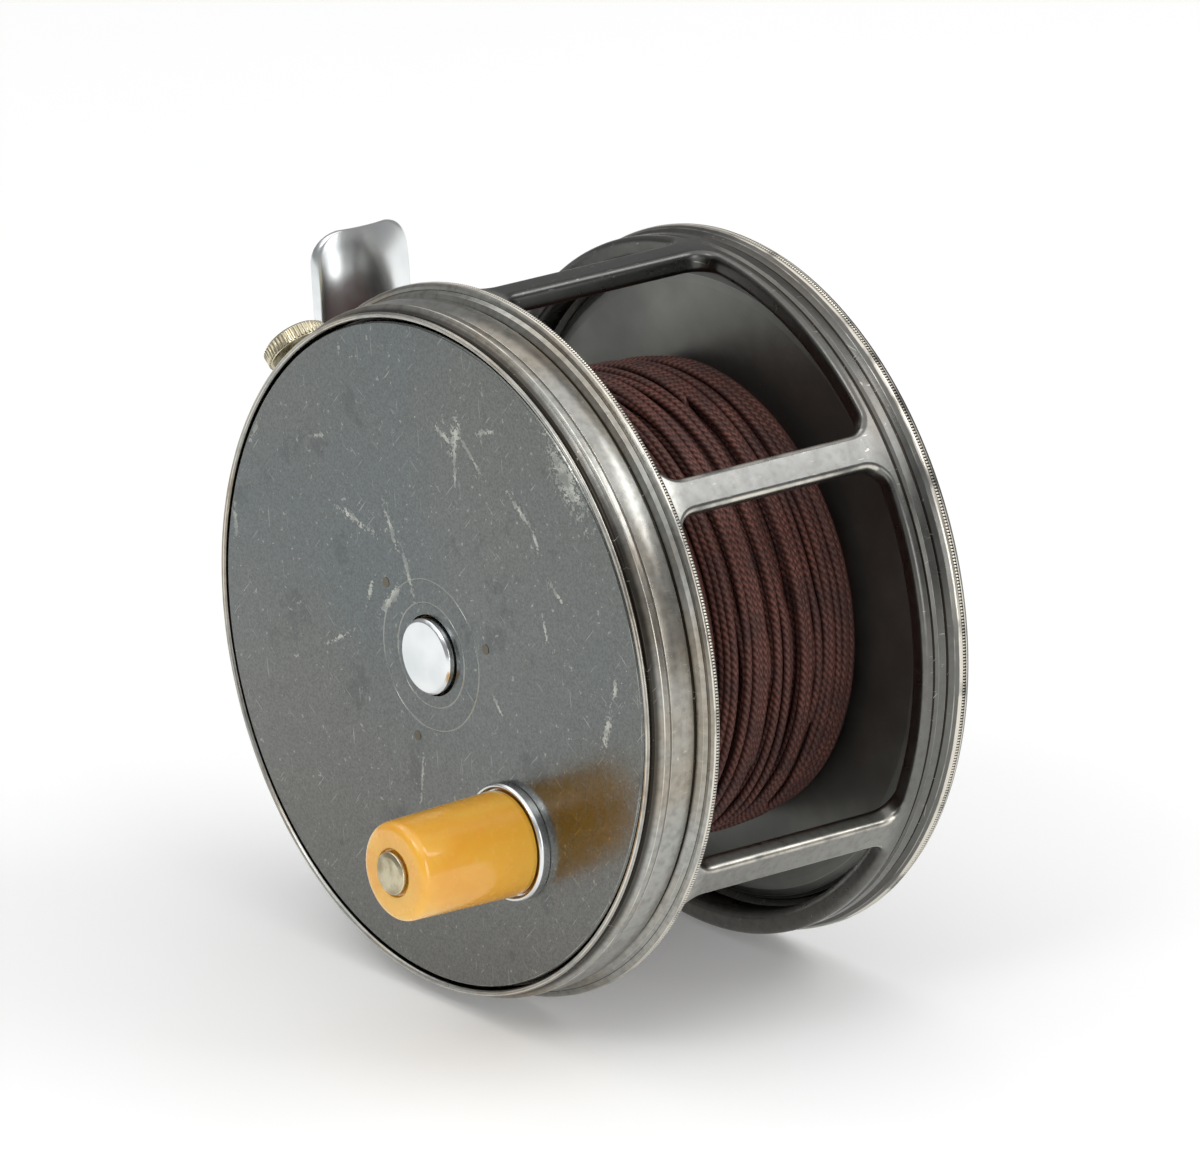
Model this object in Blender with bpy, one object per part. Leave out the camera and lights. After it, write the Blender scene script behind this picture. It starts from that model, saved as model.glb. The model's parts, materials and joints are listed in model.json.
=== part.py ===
"""Wide-drum centre-pin fly reel, modelled as the assembly it is.

Units are millimetres in this file and metres in the scene.  The spin axis is world Y.
Depths are measured back from the front face of the winding plate, so depth 0 is the
face with the handle and depth REEL_DEPTH is the outer face of the back plate, which is
world Y = 0.  Angles are measured about the spin axis from +X towards +Z.
"""
import math

import bmesh
import bpy
from mathutils import Matrix, Vector

MM = 0.001

# Driving dimensions
REEL_DEPTH = 52.0
RIM_RADIUS = 47.6
CAGE_BORE = 44.0
BAR_RADIUS = 47.1
WINDOW_FRONT = 10.4
WINDOW_REAR = 44.4
WINDOW_CORNER = 3.0
FOOT_ANGLE = 184.65
FOOT_SECTION_HALF_ANGLE = 24.0
BAR_OFFSETS = (-146.45, -93.15, 70.35, 146.45)
BAR_HALF_ANGLE = 2.95

PLATE_RADIUS = 44.05
PLATE_THICKNESS = 2.0
PLATE_RIVET_CIRCLE = 12.2
PLATE_RIVET_ANGLES = (19.0, 142.0, 256.0)
PLATE_RIVET_RADIUS = 0.7
CAP_RADIUS = 5.1

FLANGE_RADIUS = 43.2
FLANGE_THICKNESS = 1.2
FRONT_FLANGE_DEPTH = 10.0
REAR_FLANGE_DEPTH = 47.7
ARBOR_RADIUS = 14.5
LINE_RADIUS = 31.9
LINE_END_RADIUS = 30.2
TIE_ROD_CIRCLE = 9.0
TIE_ROD_RADIUS = 0.9
TIE_ROD_ANGLES = (30.0, 150.0, 270.0)

SPINDLE_RADIUS = 2.5
BUSH_BORE = 2.6
HUB_BORE = 4.3
HUB_RADIUS = 5.6
INNER_WALL_FRONT = 8.7
INNER_WALL_REAR = 9.7

BALL_COUNT = 14
BALL_RADIUS = 1.6
BALL_CIRCLE = 8.4
BALL_DEPTH = 7.35

TOOTH_COUNT = 24
TOOTH_TIP_RADIUS = 17.2
TOOTH_ROOT_RADIUS = 16.0
WHEEL_FRONT = 3.6
WHEEL_REAR = 5.2

CHECK_ANGLE = 140.3
PAWL_PIVOT_CIRCLE = 26.0
PAWL_BACK_RADIUS = 3.2
SPRING_CIRCLE = 29.6
SPRING_THICKNESS = 0.4
SPRING_HALF_LENGTH = 13.2
SPRING_BOW = 0.35
SPRING_POST_CIRCLE = 32.1
SPRING_POST_OFFSET = 12.0
REGULATOR_DEPTH = 7.0
REGULATOR_SHANK = 1.3
REGULATOR_HEAD = 4.6
LOCK_NUT_RADIUS = 2.6

HANDLE_X = 17.3
HANDLE_Z = -20.7
KNOB_BASE_RADIUS = 7.05
KNOB_END_RADIUS = 6.55
KNOB_LENGTH = 18.3
COLLAR_RADIUS = 7.9

FOOT_WIDTH = 15.6
FOOT_HALF_LENGTH = 44.2
FOOT_SHIFT = -0.45
FOOT_CENTRE_DEPTH = 28.1
FOOT_BASE_HALF = 12.5
FOOT_CORNER = 4.2
FOOT_HOLLOW = 2.0
FOOT_TIP_LIFT = 0.9
FOOT_TIP_REACH = 8.0
FOOT_SCREW_SPREAD = 8.0
FOOT_SCREW_DEPTH_OFFSET = 4.6

GAP = 0.3               # clearance between pieces that touch on the real reel
RING_SEGMENTS = 60
SMALL_SEGMENTS = 24
SCREW_SEGMENTS = 12
SMOOTH_ANGLE = math.radians(32.0)


# ---------------------------------------------------------------- helpers

def clear_scene():
    """Start from an empty scene."""
    for item in list(bpy.data.objects):
        bpy.data.objects.remove(item, do_unlink=True)


def material(name, colour, roughness, metallic):
    """A Principled material with one colour, roughness and metallic value."""
    mat = bpy.data.materials.new(name)
    mat.use_nodes = True
    shader = mat.node_tree.nodes["Principled BSDF"]
    shader.inputs["Base Color"].default_value = (*colour, 1.0)
    shader.inputs["Roughness"].default_value = roughness
    shader.inputs["Metallic"].default_value = metallic
    mat.diffuse_color = (*colour, 1.0)
    return mat


def world_y(depth):
    """World Y, in metres, of a depth behind the winding plate's face."""
    return (depth - REEL_DEPTH) * MM


def polar(radius, angle, depth):
    """World place, in metres, at a radius and angle about the spin axis."""
    turn = math.radians(angle)
    return Vector((radius * math.cos(turn) * MM, world_y(depth), radius * math.sin(turn) * MM))


def axial_matrix(x=0.0, z=0.0):
    """Frame whose local Z runs back along the spin axis, from depth 0 at (x, z)."""
    turn = Matrix.Rotation(-math.pi / 2, 4, "X")
    return Matrix.Translation((x * MM, world_y(0.0), z * MM)) @ turn


def axial_at(radius, angle):
    """Axial frame at a radius and angle about the spin axis."""
    turn = math.radians(angle)
    return axial_matrix(radius * math.cos(turn), radius * math.sin(turn))


def radial_matrix(angle, depth, offset=0.0):
    """Frame whose local Z points outward at an angle, shifted sideways by offset."""
    turn = Matrix.Rotation(math.radians(90.0 - angle), 4, "Y")
    tangent = Vector((-math.sin(math.radians(angle)), 0.0, math.cos(math.radians(angle))))
    place = Vector((0.0, world_y(depth), 0.0)) + tangent * offset * MM
    return Matrix.Translation(place) @ turn


def finish_object(name, bm, mat, matrix):
    """Turn a bmesh into a placed, smooth-shaded object."""
    bmesh.ops.recalc_face_normals(bm, faces=bm.faces)
    mesh = bpy.data.meshes.new(name)
    bm.to_mesh(mesh)
    bm.free()
    mesh.shade_smooth()
    mesh.set_sharp_from_angle(angle=SMOOTH_ANGLE)
    if mat:
        mesh.materials.append(mat)
    item = bpy.data.objects.new(name, mesh)
    item.matrix_world = matrix
    bpy.context.collection.objects.link(item)
    return item


def spin_profile(bm, profile, segments):
    """Spin a closed (radius, height) outline about local Z; points may lie on the axis."""
    verts = [bm.verts.new((radius * MM, 0.0, height * MM)) for radius, height in profile]
    count = len(verts)
    on_axis = [radius == 0.0 for radius, _ in profile]
    edges = []
    for index in range(count):
        following = (index + 1) % count
        if not (on_axis[index] and on_axis[following]):
            edges.append(bm.edges.new((verts[index], verts[following])))
    bmesh.ops.spin(bm, geom=verts + edges, cent=(0, 0, 0), axis=(0, 0, 1),
                   angle=math.tau, steps=segments, use_merge=True)
    bmesh.ops.remove_doubles(bm, verts=bm.verts, dist=1e-7)


def turned(name, profile, mat, matrix=None, segments=SMALL_SEGMENTS):
    """A turned piece: a closed (radius, height) outline spun about its axis."""
    bm = bmesh.new()
    spin_profile(bm, profile, segments)
    return finish_object(name, bm, mat, matrix or axial_matrix())


def tube_profile(inner, outer, low, high):
    """Outline of a plain tube or, with inner 0, a plain rod."""
    return [(inner, low), (outer, low), (outer, high), (inner, high)]


def prism(name, outline, low, high, mat, matrix):
    """A flat outline in local X and Y, extruded from low to high along local Z."""
    bm = bmesh.new()
    base = bm.faces.new([bm.verts.new((x * MM, y * MM, low * MM)) for x, y in outline])
    grown = bmesh.ops.extrude_face_region(bm, geom=[base])
    moved = [item for item in grown["geom"] if isinstance(item, bmesh.types.BMVert)]
    bmesh.ops.translate(bm, verts=moved, vec=(0.0, 0.0, (high - low) * MM))
    return finish_object(name, bm, mat, matrix)


def add_rod(bm, matrix, radius, low, high, segments=SCREW_SEGMENTS):
    """Add a closed rod along a frame's local Z to a cutter mesh."""
    middle = Matrix.Translation((0.0, 0.0, (low + high) / 2 * MM))
    bmesh.ops.create_cone(bm, cap_ends=True, segments=segments, radius1=radius * MM,
                          radius2=radius * MM, depth=(high - low) * MM, matrix=matrix @ middle)


def cut(target, bm):
    """Take the closed shapes in bm, which are in world space, away from a piece."""
    cutter = finish_object(target.name + ".cutter", bm, None, Matrix.Identity(4))
    cutter.hide_render = True
    cutter.display_type = "WIRE"
    modifier = target.modifiers.new("Cut", "BOOLEAN")
    modifier.operation = "DIFFERENCE"
    modifier.solver = "EXACT"
    modifier.object = cutter


def arc(centre_r, centre_h, radius, start, end, steps):
    """Points along an arc of a profile, angles in degrees from the +radius direction."""
    points = []
    for step in range(steps + 1):
        turn = math.radians(start + (end - start) * step / steps)
        points.append((centre_r + radius * math.cos(turn), centre_h + radius * math.sin(turn)))
    return points


# ---------------------------------------------------------------- cage and front plate

def solid_sections():
    """Centre angle and half angle of every part of the cage wall that is left standing."""
    sections = [(FOOT_ANGLE, FOOT_SECTION_HALF_ANGLE)]
    for offset in BAR_OFFSETS:
        sections.append(((FOOT_ANGLE + offset) % 360.0, BAR_HALF_ANGLE))
    return sorted(sections)


def add_window(bm, start, end):
    """A curved block with four rounded corners, to open the cage between two bars."""
    low = CAGE_BORE - 1.0
    high = RIM_RADIUS + 2.0
    corners = []
    for radius, depth in ((low, WINDOW_FRONT), (high, WINDOW_FRONT),
                          (high, WINDOW_REAR), (low, WINDOW_REAR)):
        corners.append(bm.verts.new(polar(radius, start, depth)))
    face = bm.faces.new(corners)
    earlier = set(bm.verts) - set(corners)
    steps = max(1, int((end - start) / 5.0))
    geometry = corners + list(face.edges) + [face]
    centre = Vector((0.0, 0.0, 0.0))
    bmesh.ops.spin(bm, geom=geometry, cent=centre, axis=(0.0, -1.0, 0.0),
                   angle=math.radians(end - start), steps=steps, use_duplicate=False)
    radial = []
    for edge in bm.edges:
        if edge.verts[0] in earlier:
            continue
        along = edge.verts[1].co - edge.verts[0].co
        middle = (edge.verts[0].co + edge.verts[1].co) / 2
        angle = math.degrees(math.atan2(middle.z, middle.x)) % 360.0
        at_end = min(abs(angle - start % 360.0), abs(angle - end % 360.0)) < 0.01
        if at_end and abs(along.y) < 1e-9:
            radial.append(edge)
    bmesh.ops.bevel(bm, geom=radial, offset=WINDOW_CORNER * MM, segments=4, profile=0.5,
                    affect="EDGES", clamp_overlap=False)


def foot_point(along, depth, height):
    """World place from a distance along the foot, a depth and a height over the axis."""
    turn = math.radians(FOOT_ANGLE)
    normal = Vector((math.cos(turn), 0.0, math.sin(turn)))
    tangent = Vector((-math.sin(turn), 0.0, math.cos(turn)))
    return normal * height * MM + tangent * along * MM + Vector((0.0, world_y(depth), 0.0))


def foot_screw_frames():
    """A radial frame for each of the four screws that hold the foot."""
    frames = []
    for along in (-FOOT_SCREW_SPREAD, FOOT_SCREW_SPREAD):
        for side in (-FOOT_SCREW_DEPTH_OFFSET, FOOT_SCREW_DEPTH_OFFSET):
            frames.append(radial_matrix(FOOT_ANGLE, FOOT_CENTRE_DEPTH + side, along))
    return frames


def add_foot_pocket(bm):
    """The flat-bottomed pocket in the cage that the foot's base sits in."""
    half = FOOT_WIDTH / 2 + GAP
    reach = FOOT_BASE_HALF + 1.5
    floor = 45.6
    corners = []
    for height in (floor, floor + 6.0):
        for along, side in ((-reach, -half), (reach, -half), (reach, half), (-reach, half)):
            corners.append(bm.verts.new(foot_point(along, FOOT_CENTRE_DEPTH + side, height)))
    for loop in ((0, 1, 2, 3), (7, 6, 5, 4), (0, 4, 5, 1), (1, 5, 6, 2), (2, 6, 7, 3), (3, 7, 4, 0)):
        bm.faces.new([corners[index] for index in loop])


def build_cage(mat):
    """Front ring, bars, rear ring and back plate, turned and milled from one casting."""
    front_ring = [(CAGE_BORE, 3.6), (46.1, 3.6), (46.15, 7.0), (45.7, 7.3), (45.6, 7.9),
                  (46.5, 8.3), (46.8, 8.7), (47.35, 8.9)]
    front_rim = [(RIM_RADIUS, 9.2), (RIM_RADIUS, 10.0), (47.4, 10.25)]
    wall = [(BAR_RADIUS, 10.3), (BAR_RADIUS, 45.8)]
    rear_ring = [(46.4, 46.3), (46.35, 47.3), (46.75, 47.6), (46.75, 48.3), (46.6, 48.7),
                 (47.2, 49.4), (RIM_RADIUS, 50.2), (RIM_RADIUS, 51.0), (47.3, 51.6), (46.5, REEL_DEPTH)]
    back = [(0.0, REEL_DEPTH), (0.0, 51.2), (2.8, 51.2), (2.8, 49.3), (43.0, 49.3), (CAGE_BORE, 48.4)]
    cage = turned("cage", front_ring + front_rim + wall + rear_ring + back, mat,
                  segments=RING_SEGMENTS)
    bm = bmesh.new()
    sections = solid_sections()
    for index, (centre, half) in enumerate(sections):
        following, following_half = sections[(index + 1) % len(sections)]
        if following < centre:
            following += 360.0
        add_window(bm, centre + half, following - following_half)
    cut(cage, bm)
    bm = bmesh.new()
    add_foot_pocket(bm)
    cut(cage, bm)
    bm = bmesh.new()
    for frame in foot_screw_frames():
        add_rod(bm, frame, 1.3, CAGE_BORE - 3.0, 48.0)
    add_rod(bm, radial_matrix(CHECK_ANGLE, REGULATOR_DEPTH), REGULATOR_SHANK + GAP,
            CAGE_BORE - 3.0, 46.8)
    cut(cage, bm)
    bm = bmesh.new()
    add_rod(bm, radial_matrix(CHECK_ANGLE, REGULATOR_DEPTH), LOCK_NUT_RADIUS + GAP, 46.5, 52.0)
    cut(cage, bm)
    return cage


def build_front_plate(mat):
    """The screwed front ring with its lip and bead, and the inner wall behind it."""
    lip = [(44.7, 2.6), (44.7, 0.1), (44.9, -0.2), (45.3, -0.25), (45.55, 0.1)]
    groove_and_bead = [(45.45, 0.9), (45.5, 1.5), (45.9, 1.85), (46.2, 2.2), (46.25, 2.8), (46.05, 3.3)]
    skirt = [(43.5, 3.3), (43.5, INNER_WALL_REAR)]
    bearing_seat = [(11.9, INNER_WALL_REAR), (11.9, 5.6), (13.6, 5.6), (13.6, INNER_WALL_FRONT)]
    inside = [(41.7, INNER_WALL_FRONT), (41.7, 2.6)]
    plate = turned("front_plate", lip + groove_and_bead + skirt + bearing_seat + inside, mat,
                   segments=RING_SEGMENTS)
    bm = bmesh.new()
    add_rod(bm, radial_matrix(CHECK_ANGLE, REGULATOR_DEPTH), REGULATOR_SHANK + GAP, 40.0, 45.0)
    add_rod(bm, axial_at(PAWL_PIVOT_CIRCLE, CHECK_ANGLE), 1.5, 8.0, 11.0)
    for frame in spring_post_frames():
        add_rod(bm, frame, 1.3, 8.0, 11.0)
    cut(plate, bm)
    return plate


# ---------------------------------------------------------------- spindle and bearing

def build_spindle(mat):
    """The fixed steel post: tapped front end, shoulder, and a tail let into the back plate."""
    tail = [(SPINDLE_RADIUS, 50.9), (0.0, 50.9)]
    shoulder = [(SPINDLE_RADIUS, 44.5), (3.9, 44.5), (3.9, 49.0), (SPINDLE_RADIUS, 49.0)]
    tapped_end = [(0.0, 9.0), (1.6, 9.0), (1.6, 2.7), (SPINDLE_RADIUS, 2.7)]
    return turned("spindle", tapped_end + shoulder + tail, mat)


def build_spindle_cap(mat):
    """The polished cap on the spindle's end, with the screw that holds it."""
    stem = [(0.0, 8.6), (1.3, 8.6), (1.3, 1.8)]
    head = [(CAP_RADIUS, 1.8), (CAP_RADIUS, -0.75), (CAP_RADIUS - 0.5, -1.2), (0.0, -1.25)]
    return turned("spindle_cap", stem + head, mat)


def build_bearing(race_mat, ball_mat):
    """Cup in the front plate, cone on the hub and the loose balls between them."""
    inner = BALL_CIRCLE - BALL_RADIUS
    outer = BALL_CIRCLE + BALL_RADIUS
    cup = [(outer + GAP, 5.6), (11.6, 5.6), (11.6, 9.7), (outer - 1.0, 9.7), (outer - 1.0, 9.25),
           (outer + GAP, 9.25)]
    turned("bearing_cup", cup, race_mat, segments=32)
    cone = [(HUB_RADIUS + GAP, 5.0), (inner + 1.0, 5.0), (inner + 1.0, 5.45), (inner - GAP, 5.45),
            (inner - GAP, 9.2), (HUB_RADIUS + GAP, 9.2)]
    turned("bearing_cone", cone, race_mat)
    for index in range(BALL_COUNT):
        bm = bmesh.new()
        bmesh.ops.create_uvsphere(bm, u_segments=10, v_segments=6, radius=BALL_RADIUS * MM)
        place = polar(BALL_CIRCLE, index * 360.0 / BALL_COUNT, BALL_DEPTH)
        finish_object("bearing_ball_%02d" % (index + 1), bm, ball_mat, Matrix.Translation(place))


# ---------------------------------------------------------------- drum

def rivet_cutter(low, high):
    """Clearance holes for the three rivets of the winding plate."""
    bm = bmesh.new()
    for angle in PLATE_RIVET_ANGLES:
        add_rod(bm, axial_at(PLATE_RIVET_CIRCLE, angle), PLATE_RIVET_RADIUS + GAP, low, high)
    return bm


def build_winding_plate(mat):
    """The revolving front plate that carries the handle."""
    profile = [(CAP_RADIUS + 0.35, 0.0), (PLATE_RADIUS - 0.35, 0.0), (PLATE_RADIUS, 0.35),
               (PLATE_RADIUS, PLATE_THICKNESS), (CAP_RADIUS + 0.35, PLATE_THICKNESS)]
    plate = turned("winding_plate", profile, mat, segments=RING_SEGMENTS)
    bm = rivet_cutter(-1.0, 3.0)
    add_rod(bm, axial_matrix(HANDLE_X, HANDLE_Z), 1.9, -1.0, 3.0)
    cut(plate, bm)
    return plate


def build_plate_rivets(mat):
    """Three rivets through the winding plate, the hub flange and the ratchet wheel."""
    for index, angle in enumerate(PLATE_RIVET_ANGLES):
        profile = tube_profile(0.0, PLATE_RIVET_RADIUS, -0.05, WHEEL_REAR)
        turned("plate_rivet_%d" % (index + 1), profile, mat, axial_at(PLATE_RIVET_CIRCLE, angle),
               SCREW_SEGMENTS)


def build_hub(mat):
    """The long hub with its drive flange in front, which the winding plate is riveted to."""
    flange = [(HUB_BORE, 2.3), (14.8, 2.3), (14.8, 3.3), (HUB_RADIUS, 3.3)]
    tube = [(HUB_RADIUS, 48.6), (HUB_BORE, 48.6)]
    hub = turned("drum_hub", flange + tube, mat, segments=32)
    cut(hub, rivet_cutter(1.0, 3.5))
    return hub


def build_bushes(mat):
    """Two bronze bushes in the hub, which run on the spindle."""
    for name, low, high in (("hub_bush_front", 2.8, 12.0), ("hub_bush_rear", 34.0, 44.1)):
        turned(name, tube_profile(BUSH_BORE, HUB_BORE - GAP, low, high), mat)


def tie_rod_cutter(low, high):
    """Clearance holes for the drum's three tie rods."""
    bm = bmesh.new()
    for angle in TIE_ROD_ANGLES:
        add_rod(bm, axial_at(TIE_ROD_CIRCLE, angle), TIE_ROD_RADIUS + GAP, low, high)
    return bm


def build_drum(flange_mat, rod_mat):
    """Arbor, two flanges with rolled rims, and the rods that tie them together."""
    turned("drum_arbor", tube_profile(11.5, ARBOR_RADIUS, 11.5, 47.4), flange_mat, segments=32)
    bore = HUB_RADIUS + GAP
    front = [(bore, FRONT_FLANGE_DEPTH), (FLANGE_RADIUS - 0.4, FRONT_FLANGE_DEPTH),
             (FLANGE_RADIUS, FRONT_FLANGE_DEPTH + 0.4), (FLANGE_RADIUS - 0.2, 11.0),
             (FLANGE_RADIUS - 0.6, FRONT_FLANGE_DEPTH + FLANGE_THICKNESS),
             (bore, FRONT_FLANGE_DEPTH + FLANGE_THICKNESS)]
    front_flange = turned("drum_front_flange", front, flange_mat, segments=RING_SEGMENTS)
    cut(front_flange, tie_rod_cutter(9.0, 12.0))
    rear = [(bore, REAR_FLANGE_DEPTH + FLANGE_THICKNESS), (bore, REAR_FLANGE_DEPTH),
            (40.5, REAR_FLANGE_DEPTH), (41.6, 47.85), (42.6, 48.25),
            (FLANGE_RADIUS, REAR_FLANGE_DEPTH + FLANGE_THICKNESS)]
    rear_flange = turned("drum_rear_flange", rear, flange_mat, segments=RING_SEGMENTS)
    cut(rear_flange, tie_rod_cutter(47.0, 50.0))
    for index, angle in enumerate(TIE_ROD_ANGLES):
        profile = tube_profile(0.0, TIE_ROD_RADIUS, 10.1, 48.8)
        turned("drum_tie_rod_%d" % (index + 1), profile, rod_mat, axial_at(TIE_ROD_CIRCLE, angle),
               SCREW_SEGMENTS)


def build_line(mat):
    """The wound line, as one turned ring with a low crown."""
    low = FRONT_FLANGE_DEPTH + FLANGE_THICKNESS + GAP
    high = REAR_FLANGE_DEPTH - GAP
    profile = [(ARBOR_RADIUS + GAP, high), (ARBOR_RADIUS + GAP, low)]
    steps = 6
    for step in range(steps + 1):
        part = step / steps
        crown = 1.0 - (2.0 * part - 1.0) ** 4
        profile.append((LINE_END_RADIUS + (LINE_RADIUS - LINE_END_RADIUS) * crown, low + (high - low) * part))
    return turned("line_winding", profile, mat, segments=48)


# ---------------------------------------------------------------- check

def build_ratchet_wheel(mat):
    """The check wheel; a gap between two teeth faces the pawl's nose."""
    outline = []
    pitch = 360.0 / TOOTH_COUNT
    for index in range(TOOTH_COUNT):
        root = math.radians(CHECK_ANGLE + index * pitch)
        tip = math.radians(CHECK_ANGLE + (index + 0.5) * pitch)
        for radius, turn in ((TOOTH_ROOT_RADIUS, root), (TOOTH_TIP_RADIUS, tip)):
            # local Y points down in an axial frame, so the sine is reversed
            outline.append((radius * math.cos(turn), -radius * math.sin(turn)))
    wheel = prism("ratchet_wheel", outline, WHEEL_FRONT, WHEEL_REAR, mat, axial_matrix())
    bm = rivet_cutter(WHEEL_FRONT - 0.5, WHEEL_REAR + 0.5)
    add_rod(bm, axial_matrix(), 8.2, WHEEL_FRONT - 0.5, WHEEL_REAR + 0.5, 48)
    cut(wheel, bm)
    return wheel


def check_frame():
    """Axial frame at the pawl's pivot, with local X pointing out along the check angle."""
    turn = Matrix.Rotation(-math.radians(CHECK_ANGLE), 4, "Z")
    return axial_at(PAWL_PIVOT_CIRCLE, CHECK_ANGLE) @ turn


def build_pawl(mat):
    """The rocking pawl: nose just clear of the teeth, round back under the spring."""
    nose = [(-8.5, -0.3), (-7.9, -0.9), (-6.5, -1.5), (-3.0, -2.4)]
    back = arc(0.0, 0.0, PAWL_BACK_RADIUS, -100.0, 100.0, 12)
    outline = nose + back + [(x, -y) for x, y in reversed(nose)]
    pawl = prism("check_pawl", outline, 3.7, 5.1, mat, check_frame())
    bm = bmesh.new()
    add_rod(bm, axial_at(PAWL_PIVOT_CIRCLE, CHECK_ANGLE), 1.8, 3.0, 6.0)
    cut(pawl, bm)
    bm = bmesh.new()
    add_rod(bm, axial_at(PAWL_PIVOT_CIRCLE, CHECK_ANGLE), 2.6, 3.0, 4.55)
    cut(pawl, bm)
    return pawl


def build_pawl_pivot(mat):
    """The shoulder screw that the pawl rocks on, its head sunk in the pawl."""
    head = [(0.0, 3.6), (2.3, 3.6), (2.3, 4.25), (1.5, 4.25)]
    collar = [(1.5, 5.5), (2.5, 5.5), (2.5, 8.4)]
    thread = [(1.2, 8.4), (1.2, 9.6), (0.0, 9.6)]
    return turned("pawl_pivot", head + collar + thread, mat,
                  axial_at(PAWL_PIVOT_CIRCLE, CHECK_ANGLE), SCREW_SEGMENTS)


def build_check_spring(mat):
    """The leaf spring across the pawl's back, bowed a little towards the axis."""
    near = []
    far = []
    steps = 8
    for step in range(steps + 1):
        part = 2.0 * step / steps - 1.0
        height = SPRING_CIRCLE - PAWL_PIVOT_CIRCLE + SPRING_BOW * part * part
        near.append((height, SPRING_HALF_LENGTH * part))
        far.append((height + SPRING_THICKNESS, SPRING_HALF_LENGTH * part))
    return prism("check_spring", near + far[::-1], 3.4, 5.4, mat, check_frame())


def spring_post_frames():
    """Axial frames of the two posts behind the spring's ends."""
    frames = []
    for side in (-SPRING_POST_OFFSET, SPRING_POST_OFFSET):
        local = Matrix.Translation(((SPRING_POST_CIRCLE - PAWL_PIVOT_CIRCLE) * MM, side * MM, 0.0))
        frames.append(check_frame() @ local)
    return frames


def build_spring_posts(mat):
    """The posts that the spring's ends bear on."""
    for index, frame in enumerate(spring_post_frames()):
        profile = [(0.0, 2.6), (1.5, 2.6), (1.5, 8.4), (1.0, 8.4), (1.0, 9.6), (0.0, 9.6)]
        turned("spring_post_%d" % (index + 1), profile, mat, frame, SCREW_SEGMENTS)


def build_regulator(screw_mat, shoe_mat):
    """Regulator screw in the rim, its lock nut and the shoe it pushes at the spring."""
    frame = radial_matrix(CHECK_ANGLE, REGULATOR_DEPTH)
    shank = [(0.0, 35.0), (REGULATOR_SHANK, 35.0), (REGULATOR_SHANK, 47.9)]
    head = [(REGULATOR_HEAD - 0.3, 47.9), (REGULATOR_HEAD, 48.2), (REGULATOR_HEAD, 49.9),
            (REGULATOR_HEAD - 0.5, 50.3), (0.0, 50.45)]
    turned("regulator_screw", shank + head, screw_mat, frame)
    nut = tube_profile(REGULATOR_SHANK + GAP, LOCK_NUT_RADIUS, 46.85, 47.55)
    turned("regulator_lock_nut", nut, screw_mat, frame, SCREW_SEGMENTS)
    low = 30.6 - PAWL_PIVOT_CIRCLE
    high = 34.6 - PAWL_PIVOT_CIRCLE
    outline = [(low, -3.5), (high, -3.5), (high, 3.5), (low, 3.5)]
    prism("regulator_shoe", outline, 3.6, 8.35, shoe_mat, check_frame())


# ---------------------------------------------------------------- handle

def build_handle(collar_mat, knob_mat, pin_mat):
    """Collar, knob, headed pin and the nut behind the winding plate."""
    frame = axial_matrix(HANDLE_X, HANDLE_Z)
    collar = [(1.9, -GAP), (COLLAR_RADIUS, -GAP), (COLLAR_RADIUS, -1.2), (COLLAR_RADIUS - 0.2, -1.55),
              (COLLAR_RADIUS - 0.45, -1.55), (COLLAR_RADIUS - 0.55, -1.1), (1.9, -1.0)]
    turned("handle_collar", collar, collar_mat, frame, 40)
    base = -1.35
    end = base - KNOB_LENGTH
    rounding = 1.9
    side = [(1.9, base), (KNOB_BASE_RADIUS, base)]
    corner = [(KNOB_END_RADIUS - rounding + rounding * math.cos(math.radians(angle)),
               end + rounding - rounding * math.sin(math.radians(angle)))
              for angle in (0.0, 30.0, 60.0, 90.0)]
    turned("handle_knob", side + corner + [(1.9, end)], knob_mat, frame, 32)
    head_low = end - GAP
    head = [(0.0, head_low - 0.7), (2.75, head_low - 0.7), (2.9, head_low - 0.5), (2.9, head_low)]
    shank = [(1.5, head_low), (1.5, 3.2), (0.0, 3.2)]
    turned("handle_pin", head + shank, pin_mat, frame, 24)
    turned("handle_nut", tube_profile(1.8, 3.0, 2.35, 3.15), pin_mat, frame, 6)


# ---------------------------------------------------------------- foot

def foot_half_width(along):
    """Half width of the foot, with rounded corners at its two ends."""
    full = FOOT_WIDTH / 2
    into = abs(along) - (FOOT_HALF_LENGTH - FOOT_CORNER)
    if into <= 0.0:
        return full
    return full - FOOT_CORNER + math.sqrt(max(FOOT_CORNER * FOOT_CORNER - into * into, 0.0))


def foot_section(along):
    """Closed cross-section of the foot: hollow to the rod, round to the reel on the tongues."""
    half = foot_half_width(along)
    facets = 9
    flat = 1.0 if abs(along) <= FOOT_BASE_HALF else max(0.0, 1.0 - (abs(along) - FOOT_BASE_HALF) / 3.5)
    full = FOOT_WIDTH / 2
    into_tip = max(0.0, abs(along) - (FOOT_HALF_LENGTH - FOOT_TIP_REACH)) / FOOT_TIP_REACH
    lift = FOOT_TIP_LIFT * into_tip * into_tip
    rod_side = []
    reel_side = []
    for index in range(facets + 1):
        side = half * (2.0 * index / facets - 1.0)
        hollow = FOOT_HOLLOW * (side / full) ** 2
        rod_side.append((side, 47.7 + hollow))
        reel_side.append((side, 45.9 + (1.0 - flat) * hollow + lift))
    return rod_side + reel_side[::-1]


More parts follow.
